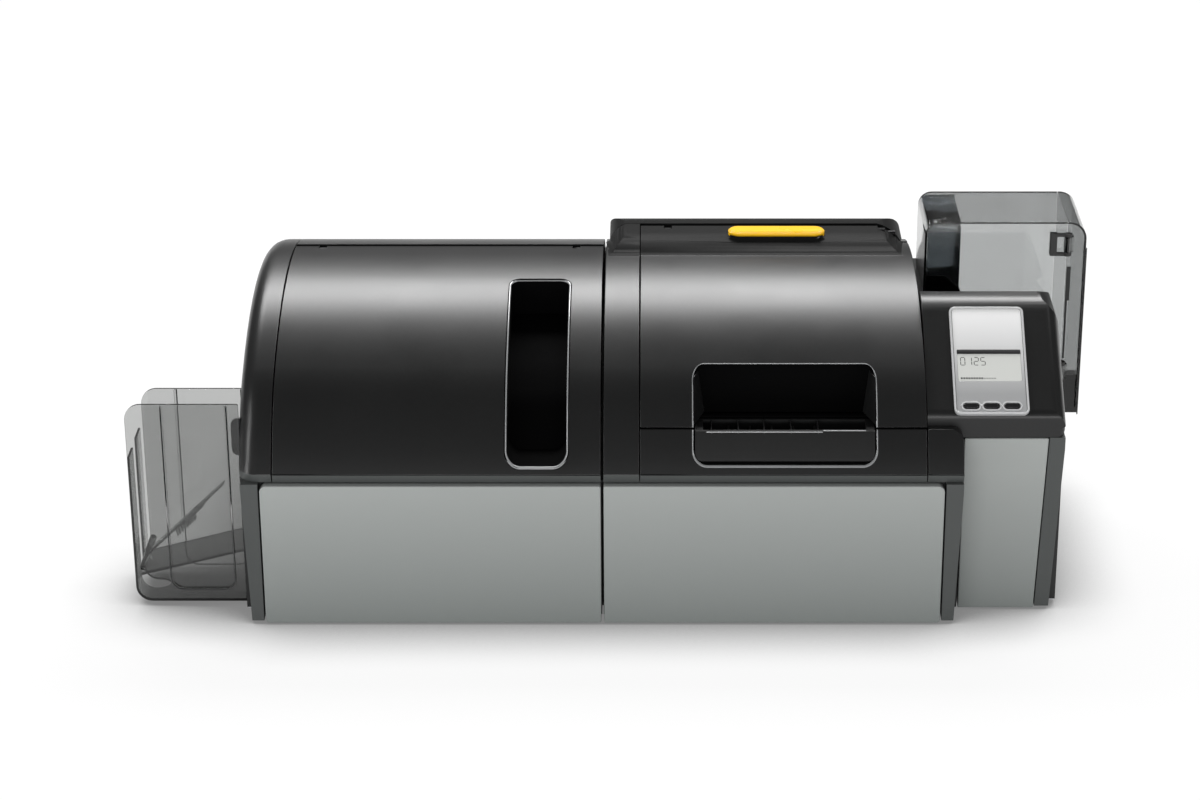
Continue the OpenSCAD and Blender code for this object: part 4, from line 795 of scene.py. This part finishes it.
class PRINTER_OT_bodies(bpy.types.Operator):
    """Lower bodies, reject bin and their base plates"""

    bl_idname = "printer.bodies"
    bl_label = "Lower bodies"

    def execute(self, context):
        settings = finishes()
        black = plastic("Textured black plastic", tuple(settings.black), 0.42, grain=900.0, depth=0.04 * MM)
        for node in ("printer_base", "laminator_base", "reject_bin"):
            dress(node, black, edges().small)
        self.bin_trim()
        dress("base_plates", metal("Zinc-plated plates", (0.62, 0.63, 0.65), 0.38), edges().sheet, 1)
        dress("feet", rubber("Black rubber feet", (0.02, 0.02, 0.02)), edges().small)
        self.seam_shade_sheet()
        return {"FINISHED"}

    def seam_shade_sheet(self):
        """Near-black sheet in the seam between the two modules, set back from their skins: a painted shade
        for the dark deep in the gap.
        """
        seam = frame_seam()
        places = {}
        for node in ("laminator_cover", "laminator_base", "laminator_rear_housing"):
            for vert in frame["nodes"][node].data.vertices:
                if vert.co.x > seam - 3 * MM and vert.co.z < SEAM_SHEET_TOP:
                    places.setdefault(round(vert.co.z, 3), set()).add(round(vert.co.y, 4))
        bm = bmesh.new()
        for z, found in sorted(places.items()):
            for y in (min(found), max(found)):
                for side in (-SEAM_SHEET_HALF, SEAM_SHEET_HALF):
                    bmesh.ops.create_vert(bm, co=(seam + side, y, z))
        hull = bmesh.ops.convex_hull(bm, input=bm.verts)
        inner = {*hull["geom_interior"], *hull["geom_unused"]}
        bmesh.ops.delete(bm, geom=list(inner), context="VERTS")
        low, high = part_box("laminator_base")
        middle = Vector((seam, (low.y + high.y) / 2, 0.14))
        smaller = Matrix.Diagonal((1, 0.97, 0.95, 1))
        shrink = Matrix.Translation(middle) @ smaller @ Matrix.Translation(-middle)
        bmesh.ops.recalc_face_normals(bm, faces=bm.faces)
        seam_black = rubber("Seam painted shade", (0.006, 0.006, 0.006), 0.8)
        piece_from(bm, "seam_shade", seam_black, "printer", place=shrink)

    def bin_trim(self):
        """Thin dividers across the reject bin and the bright strips along its front edge."""
        bright = painted_finish("Bright edge strip", (0.30, 0.305, 0.31), 0.2, coat=0.5)
        bm = bmesh.new()
        for left, right, top in BIN_STRIPS:
            place = Matrix.Translation(((left + right) / 2 * MM, -0.2285, (top - 0.9) * MM))
            gather(bm, plate((right - left - 0.3) * MM, 1.1 * MM, 0.3 * MM, 0.9 * MM, 0.25 * MM), place)
        piece_from(bm, "bin_edge_strips", bright, "reject_bin")
        dark = painted_finish("Glossy divider plastic", (0.02, 0.02, 0.021), 0.25, coat=0.5)
        bm = bmesh.new()
        for x in BIN_DIVIDERS:
            turn = Matrix.Translation((x * MM, -0.2130, 0.1922)) @ Matrix.Rotation(QUARTER, 4, "Y")
            gather(bm, plate(12.4 * MM, 29.5 * MM, 1.0 * MM, 0.9 * MM, 0.25 * MM), turn)
        piece_from(bm, "bin_dividers", dark, "reject_bin")


def frame_seam():
    """Place along X of the gap between the two modules."""
    return (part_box("laminator_base")[1].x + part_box("printer_base")[0].x) / 2


class PRINTER_OT_fronts(bpy.types.Operator):
    """Gray front panels and the dark frames beside them"""

    bl_idname = "printer.fronts"
    bl_label = "Front panels"

    def execute(self, context):
        settings = finishes()
        low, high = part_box("printer_panel")
        gray = panel_paint("Satin gray paint", low.z, high.z)
        for node in ("printer_panel", "laminator_panel", "tower_panel"):
            dress(node, gray, edges().panel, 4, clamp=False)
        dark = plastic("Dark gray plastic", tuple(settings.frame_gray), 0.45, grain=1100.0, dust=0.1)
        for node in ("printer_frame", "laminator_frame", "tower_frame"):
            dress(node, dark, edges().small, clamp=False)
        return {"FINISHED"}


# Lit bars of the numerals shown: across at the top, middle and foot, then the upright halves
NUMERALS = {
    "0": "t f ul ur ll lr",
    "1": "ur lr",
    "2": "t m f ur ll",
    "5": "t m f ul lr",
}


def numeral(figure, width, height, line):
    """One numeral of flat bars, with its lower left corner at the origin."""
    bm = bmesh.new()
    half = height / 2
    bars = {
        "t": (width / 2, height, False),
        "m": (width / 2, half, False),
        "f": (width / 2, 0, False),
        "ul": (0, half * 1.5, True),
        "ur": (width, half * 1.5, True),
        "ll": (0, half / 2, True),
        "lr": (width, half / 2, True),
    }
    for key in NUMERALS[figure].split():
        x, y, upright = bars[key]
        size = (line, half * 0.84) if upright else (width * 0.78, line)
        gather(bm, plate(*size, line * 0.3, 0.06 * MM, 0), Matrix.Translation((x, y, 0)))
    return bm


class PRINTER_OT_controls(bpy.types.Operator):
    """Silver bezel, display window, oval keys and the yellow release button"""

    bl_idname = "printer.controls"
    bl_label = "Controls"

    def execute(self, context):
        settings = finishes()
        display_foot, bezel_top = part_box("display")[0].z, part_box("control_bezel")[1].z
        silver = silver_finish("Pearl silver", display_foot - 8 * MM, bezel_top - 6 * MM)
        dress("control_bezel", silver, 0.4 * MM)
        window = painted_finish("Display window", tuple(settings.display), 0.16, coat=0.6)
        dress("display", window, 0.15 * MM, 2)
        dark_key = painted_finish("Dark key plastic", (0.008, 0.008, 0.009), 0.22)
        for node in KEYS:
            dress(node, dark_key, 0.3 * MM)
        yellow = painted_finish("Amber yellow plastic", tuple(settings.yellow), 0.24, coat=0.3)
        dress("release_button", yellow, 0.35 * MM, 2)
        self.bezel_trim()
        self.readout()
        return {"FINISHED"}

    def bezel_trim(self):
        """Clear rim and inner line of the bezel, the bar over the display and the keys' sockets."""
        low, high = slope_span("control_bezel")
        middle = on_slope((low[0] + high[0]) / 2, (low[1] + high[1]) / 2, high[2])
        width, height = high[0] - low[0], high[1] - low[1]
        rim = painted_finish("Clear lacquered rim", (0.50, 0.505, 0.51), 0.12, coat=0.9)
        dark = painted_finish("Dark shadow line", (0.01, 0.01, 0.011), 0.5)
        bm = ring(width - 0.2 * MM, height - 0.2 * MM, 5.9 * MM, 2.0 * MM, 1.0 * MM, 0.45 * MM)
        piece_from(bm, "bezel_rim", rim, "printer", place=middle)
        bm = ring(width - 4.6 * MM, height - 4.6 * MM, 3.7 * MM, 0.3 * MM, 0.12 * MM, 0)
        piece_from(bm, "bezel_inner_line", dark, "printer", place=middle)
        window_low, window_high = slope_span("display")
        bar = on_slope((window_low[0] + window_high[0]) / 2, window_high[1] - 2.6 * MM, window_high[2])
        bm = plate(window_high[0] - window_low[0], 4.6 * MM, 0.4 * MM, 0.5 * MM, 0.12 * MM)
        piece_from(bm, "display_bar", dark, "printer", place=bar)
        sockets = bmesh.new()
        # The sockets are real rings round the keys; their pale colour is partly a painted highlight, for the
        # light crescents that the rounded rings catch.
        bright = painted_finish("Key sockets with painted highlight", (0.60, 0.605, 0.61), 0.16, coat=0.8)
        for node in KEYS:
            key_low, key_high = slope_span(node)
            place = on_slope((key_low[0] + key_high[0]) / 2, (key_low[1] + key_high[1]) / 2, high[2])
            long, wide = key_high[0] - key_low[0] + 4.4 * MM, key_high[1] - key_low[1] + 4.0 * MM
            gather(sockets, ring(long, wide, wide * 0.499, 1.3 * MM, 0.5 * MM, 0.2 * MM), place)
        piece_from(sockets, "key_sockets", bright, "printer")

    def readout(self):
        """Plain numbers and a row of blocks on the display."""
        low, high = slope_span("display")
        ink = painted_finish("Display segments", (0.035, 0.037, 0.034), 0.4)
        bm = bmesh.new()
        for i, figure in enumerate("0125"):
            place = on_slope(low[0] + (3.2 + i * 6.6) * MM, high[1] - 17.5 * MM, high[2] - 0.02 * MM)
            gather(bm, numeral(figure, 4.2 * MM, 8.6 * MM, 0.7 * MM), place)
        for i in range(14):
            place = on_slope(low[0] + (3.4 + i * 2.5) * MM, low[1] + 3.2 * MM, high[2] - 0.02 * MM)
            gather(bm, plate(1.7 * MM, (1.6 if i < 9 else 0.5) * MM, 0.1 * MM, 0.2 * MM, 0), place)
        piece_from(bm, "display_readout", ink, "printer", smooth=False)


class PRINTER_OT_feeder(bpy.types.Operator):
    """Clear hopper with its door, guide, floor, hinge and card weight"""

    bl_idname = "printer.feeder"
    bl_label = "Feeder"

    def execute(self, context):
        settings = finishes()
        dress("hopper_shell", smoked_plastic("Smoked clear plastic", settings.smoke), edges().sheet, 2)
        dress("hopper_door", smoked_plastic("Smoked door plastic", settings.smoke_door), edges().sheet, 2)
        self.channel_tint()
        self.painted_shade_door_edge()
        dark = plastic("Matt black plastic", (0.018, 0.018, 0.018), 0.5, dust=0.1)
        for node in (
            "hopper_guide",
            "hopper_floor",
            "hopper_hinge",
            "door_foot",
            "card_weight",
            "power_switch",
        ):
            dress(node, dark, edges().small, 2)
        return {"FINISHED"}

    def channel_tint(self):
        """Darker sheets of the guide channel at the hopper's left end."""
        low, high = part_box("hopper_shell")
        wide = 33.5 * MM
        middle_x = low.x + 3 * MM + wide / 2
        tint = smoked_plastic("Smoked channel plastic", (0.30, 0.33, 0.36))
        bm = bmesh.new()
        tall = high.z - 4 * MM - CHANNEL_LOW
        front = Matrix.Translation((middle_x, low.y + 4.2 * MM, CHANNEL_LOW + tall / 2))
        upright = front @ Matrix.Rotation(QUARTER, 4, "X")
        gather(bm, plate(wide, tall, 3 * MM, 0.8 * MM, 0.2 * MM), upright)
        deep = high.y - low.y - 9 * MM
        top = Matrix.Translation((middle_x, (low.y + high.y) / 2, high.z - 4.2 * MM))
        gather(bm, plate(wide, deep, 3 * MM, 0.8 * MM, 0.2 * MM), top)
        piece_from(bm, "channel_tint", tint, "printer")

    def painted_shade_door_edge(self):
        """Near-black strip down the front corner of the hopper's door, a painted shade for the dark line that
        light bending in its clear edge shows.
        """
        low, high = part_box("hopper_door")
        tall = high.z - low.z - 26 * MM
        dark = painted_finish("Door edge painted shade", (0.004, 0.004, 0.0045), 0.2, coat=0.5)
        place = Matrix.Translation((high.x - 0.9 * MM, low.y, low.z + 2 * MM + tall / 2))
        bm = plate(1.3 * MM, tall, 0.5 * MM, 0.6 * MM, 0.2 * MM)
        upright = place @ Matrix.Rotation(QUARTER, 4, "X")
        piece_from(bm, "painted_shade_door_edge", dark, "hopper_door", place=upright)


class PRINTER_OT_output(bpy.types.Operator):
    """Clear output bin with its ramp and sprung card arm"""

    bl_idname = "printer.output"
    bl_label = "Output bin"

    def execute(self, context):
        smoke = smoked_plastic("Smoked bin plastic", tuple(finishes().smoke_bin))
        for node in ("card_bin", "bin_ramp", "card_arm"):
            dress(node, smoke, edges().sheet, 2)
        self.beads()
        return {"FINISHED"}

    def beads(self):
        """U-shaped beads on the bin's front and rear walls, open at the top: the beads are real clear ridges,
        and their near-black colour is a painted shade for the dark line that light bending in them shows.
        """
        low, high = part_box("card_bin")
        dark = painted_finish("Bead painted shade", (0.004, 0.004, 0.0045), 0.15, coat=0.6)
        beads = bmesh.new()
        front = Vector((low.x + 67.5 * MM, low.y, low.z + 133 * MM))
        gather(beads, upright_loop(front, 65 * MM, 240 * MM, 13 * MM, 1.2 * MM, high.z - 2.5 * MM))
        rear = Vector((low.x + 72.5 * MM, high.y - 0.6 * MM, low.z + 124 * MM))
        gather(beads, upright_loop(rear, 65 * MM, 240 * MM, 12 * MM, 1.2 * MM, high.z - 15.5 * MM))
        piece_from(beads, "bin_beads", dark, "printer")


class PRINTER_OT_mechanism(bpy.types.Operator):
    """Plates, head, rollers, spools, shafts and hinge pins under the covers"""

    bl_idname = "printer.mechanism"
    bl_label = "Mechanism"

    def execute(self, context):
        steel = metal("Zinc-plated steel", (0.66, 0.67, 0.69), 0.34)
        for module in ("printer", "laminator"):
            for node in (module + "_back_plate", module + "_front_rail"):
                dress(node, steel, edges().sheet, 1)
        bright = metal("Bright steel", (0.72, 0.73, 0.75), 0.22, lines=1600.0)
        dress("spindles", bright, edges().sheet, 2)
        dress("hinge_pins", metal("Blackened steel", (0.03, 0.03, 0.031), 0.4), edges().sheet, 2)
        dress("print_head", metal("Anodised head", (0.22, 0.23, 0.25), 0.36), edges().small, 2)
        gray_rubber = rubber("Smooth roller rubber", (0.05, 0.05, 0.052), 0.55)
        for node in (
            "platen_roller",
            "backing_roller",
            "infeed_roller",
            "laminator_infeed_roller",
            "laminator_backing_roller",
            "laminator_exit_roller",
        ):
            dress(node, gray_rubber, edges().sheet, 2)
        red_rubber = rubber("Silicone rubber", tuple(finishes().heated), 0.45)
        for node in ("transfer_roller", "laminating_roller"):
            dress(node, red_rubber, edges().sheet, 2)
        for node, base, edge in (
            ("ribbon_supply", (0.05, 0.02, 0.03), (0.12, 0.05, 0.07)),
            ("ribbon_takeup", (0.03, 0.03, 0.035), (0.09, 0.09, 0.1)),
            ("film_supply", (0.30, 0.31, 0.33), (0.42, 0.43, 0.45)),
            ("film_takeup", (0.22, 0.23, 0.25), (0.34, 0.35, 0.37)),
            ("laminate_supply", (0.38, 0.40, 0.42), (0.52, 0.54, 0.56)),
            ("laminate_takeup", (0.28, 0.29, 0.31), (0.40, 0.41, 0.43)),
        ):
            low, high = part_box(node)
            dress(node, wound_film("Wound film " + node, (low + high) / 2, base, edge), edges().sheet, 2)
        return {"FINISHED"}


class PRINTER_OT_rear(bpy.types.Operator):
    """Connector plate at the rear"""

    bl_idname = "printer.rear"
    bl_label = "Rear plate"

    def execute(self, context):
        plate_gray = painted_finish("Satin gray plate", (0.10, 0.105, 0.11), 0.4)
        dress("connector_panel", plate_gray, edges().sheet, 2)
        self.sockets()
        return {"FINISHED"}

    def sockets(self):
        """Mains inlet with its three blades, and the contacts in the two data sockets."""
        low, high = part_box("connector_panel")
        body = body_of_node("connector_panel")
        outwards = Matrix.Rotation(-QUARTER, 4, "X")

        def seat(along, up, depth):
            return Matrix.Translation((low.x + along * MM, high.y - depth * MM, low.z + up * MM)) @ outwards

        shell, blades = bmesh.new(), bmesh.new()
        gather(shell, ring(27.8 * MM, 21.8 * MM, 3 * MM, 1.1 * MM, 9.4 * MM, 0.3 * MM), seat(72, 23, 10))
        gather(shell, plate(26 * MM, 20 * MM, 2.5 * MM, 1 * MM, 0.2 * MM), seat(72, 23, 10.4))
        for along, up in ((65, 21.5), (72, 25.5), (79, 21.5)):
            gather(blades, plate(2 * MM, 4.6 * MM, 0.4 * MM, 7.5 * MM, 0.3 * MM), seat(along, up, 9.6))
        for step in range(8):
            strip = plate(0.6 * MM, 5 * MM, 0.2 * MM, 0.4 * MM, 0.1 * MM)
            gather(blades, strip, seat(35.8 + 1.2 * step, 24.5, 2.95))
        gather(shell, plate(6 * MM, 4 * MM, 0.5 * MM, 2.2 * MM, 0.2 * MM), seat(16, 21.5, 2.95))
        dark = painted_finish("Socket plastic", (0.012, 0.012, 0.012), 0.45)
        piece_from(shell, "socket_shells", dark, body)
        bright = metal("Bright contacts", (0.72, 0.66, 0.45), 0.25)
        piece_from(blades, "socket_contacts", bright, body)


# ------------------------------------------------------------------ stage


def floor_finish(studio):
    """Matt floor that otherwise looks white, with the object's shadow partly cast by the lamps and mostly
    painted: its white glow dims with ambient occlusion near the object.
    """
    material = bpy.data.materials.new("Studio floor")
    material.use_nodes = True
    tree = material.node_tree
    tree.nodes.remove(tree.nodes["Principled BSDF"])
    output = tree.nodes["Material Output"]
    paper = tree.nodes.new("ShaderNodeBsdfDiffuse")
    paper.inputs["Color"].default_value = (*studio.floor, 1)
    white = tree.nodes.new("ShaderNodeEmission")
    # Painted contact shadow: ambient occlusion near the object dims the floor's white glow.
    painted_contact_shade = tree.nodes.new("ShaderNodeAmbientOcclusion")
    painted_contact_shade.inputs["Distance"].default_value = studio.painted_shadow_reach
    shade = tree.nodes.new("ShaderNodeMapRange")
    for socket, value in (("From Min", 0.40), ("From Max", 0.97), ("To Min", 0.22), ("To Max", 1.0)):
        shade.inputs[socket].default_value = value
    tree.links.new(painted_contact_shade.outputs["AO"], shade.inputs["Value"])
    tree.links.new(shade.outputs[0], white.inputs["Strength"])
    share = math_node(tree, "MULTIPLY", seen_rays(tree), studio.background)
    mix = tree.nodes.new("ShaderNodeMixShader")
    tree.links.new(share, mix.inputs[0])
    tree.links.new(paper.outputs[0], mix.inputs[1])
    tree.links.new(white.outputs[0], mix.inputs[2])
    tree.links.new(mix.outputs[0], output.inputs["Surface"])
    return material


def seen_rays(tree):
    """1 for what the camera sees straight, in a mirror or through clear plastic."""
    path = tree.nodes.new("ShaderNodeLightPath")
    seen = math_node(tree, "MAXIMUM", path.outputs["Is Camera Ray"], path.outputs["Is Glossy Ray"])
    return math_node(tree, "MAXIMUM", seen, path.outputs["Is Transmission Ray"])


def step_between(tree, mask, low, high):
    """One value where the mask is 0 and another where it is 1."""
    mix = tree.nodes.new("ShaderNodeMix")
    mix.data_type = "FLOAT"
    for socket, value in ((mix.inputs[0], mask), (mix.inputs[2], low), (mix.inputs[3], high)):
        if isinstance(value, bpy.types.NodeSocket):
            tree.links.new(value, socket)
        else:
            socket.default_value = value
    return mix.outputs[0]


def soft_box(name, place, aim, size, power):
    data = bpy.data.lights.new(name, "AREA")
    data.shape = "RECTANGLE"
    data.size, data.size_y = size
    data.energy = power
    lamp = bpy.data.objects.new(name, data)
    bpy.context.scene.collection.objects.link(lamp)
    lamp.location = place
    lamp.rotation_euler = (Vector(aim) - Vector(place)).to_track_quat("-Z", "Y").to_euler()


class PRINTER_OT_studio(bpy.types.Operator):
    """Pale floor, soft light and the camera"""

    bl_idname = "printer.studio"
    bl_label = "Studio"

    def execute(self, context):
        studio = context.scene.printer_studio
        bm = bmesh.new()
        bmesh.ops.create_grid(bm, x_segments=1, y_segments=1, size=9.0)
        mesh = bpy.data.meshes.new("floor")
        bm.to_mesh(mesh)
        bm.free()
        floor = bpy.data.objects.new("floor", mesh)
        context.scene.collection.objects.link(floor)
        floor.data.materials.append(floor_finish(studio))

        world = bpy.data.worlds.new("Studio world")
        world.use_nodes = True
        context.scene.world = world
        tree = world.node_tree
        back = tree.nodes["Background"]
        back.inputs["Color"].default_value = (1, 1, 1, 1)
        path = tree.nodes.new("ShaderNodeLightPath")
        shown = math_node(tree, "MAXIMUM", path.outputs["Is Camera Ray"], path.outputs["Is Transmission Ray"])
        plain = step_between(tree, shown, studio.world, 1.0)
        mirrored = step_between(tree, path.outputs["Is Glossy Ray"], plain, studio.mirrored)
        tree.links.new(mirrored, back.inputs["Strength"])

        soft_box("Overhead back", (0.0, 1.42, 1.88), (0, -0.05, 0.28), (2.8, 0.62), 88.0)
        soft_box("Front fill", (-0.3, -2.9, 0.42), (0, 0, 0.12), (3.2, 0.5), 34.0)
        soft_box("Left strip", (-2.0, -0.9, 0.75), (-0.3, -0.1, 0.2), (0.16, 1.3), 13.0)
        soft_box("Right strip", (2.0, -1.1, 0.75), (0.4, -0.1, 0.2), (0.16, 1.3), 9.0)

        camera_data = bpy.data.cameras.new("Camera")
        camera_data.lens = 94.5
        camera_data.sensor_width = 36.0
        camera_data.shift_x = -50 / PHOTO_WIDTH
        camera_data.shift_y = 2.8 / PHOTO_WIDTH
        camera = bpy.data.objects.new("Camera", camera_data)
        context.scene.collection.objects.link(camera)
        camera.location = (0.03385, -3.0076, 1.4374)
        camera.rotation_euler = (math.radians(66.5), 0, 0)
        context.scene.camera = camera
        context.scene.view_settings.view_transform = "Standard"
        return {"FINISHED"}


STEPS = (
    PRINTER_OT_covers,
    PRINTER_OT_bodies,
    PRINTER_OT_fronts,
    PRINTER_OT_controls,
    PRINTER_OT_feeder,
    PRINTER_OT_output,
    PRINTER_OT_mechanism,
    PRINTER_OT_rear,
    PRINTER_OT_studio,
)


class PRINTER_PT_panel(bpy.types.Panel):
    """Lists the settings and the steps that build the looks"""

    bl_label = "Card printer"
    bl_idname = "PRINTER_PT_panel"
    bl_space_type = "VIEW_3D"
    bl_region_type = "UI"
    bl_category = "Card printer"

    def draw(self, context):
        scene = context.scene
        for settings in (scene.printer_finishes, scene.printer_edges, scene.printer_studio):
            for key in settings.__annotations__:
                self.layout.prop(settings, key)
        for step in STEPS:
            self.layout.operator(step.bl_idname)


CLASSES = (PrinterFinishes, PrinterEdges, PrinterStudio, *STEPS, PRINTER_PT_panel)


def register():
    for cls in CLASSES:
        bpy.utils.register_class(cls)
    bpy.types.Scene.printer_finishes = PointerProperty(type=PrinterFinishes)
    bpy.types.Scene.printer_edges = PointerProperty(type=PrinterEdges)
    bpy.types.Scene.printer_studio = PointerProperty(type=PrinterStudio)


def unregister():
    del bpy.types.Scene.printer_studio
    del bpy.types.Scene.printer_edges
    del bpy.types.Scene.printer_finishes
    for cls in reversed(CLASSES):
        bpy.utils.unregister_class(cls)


def main():
    register()
    for step in STEPS:
        getattr(bpy.ops.printer, step.bl_idname.split(".")[1])()


if __name__ == "__main__":
    main()
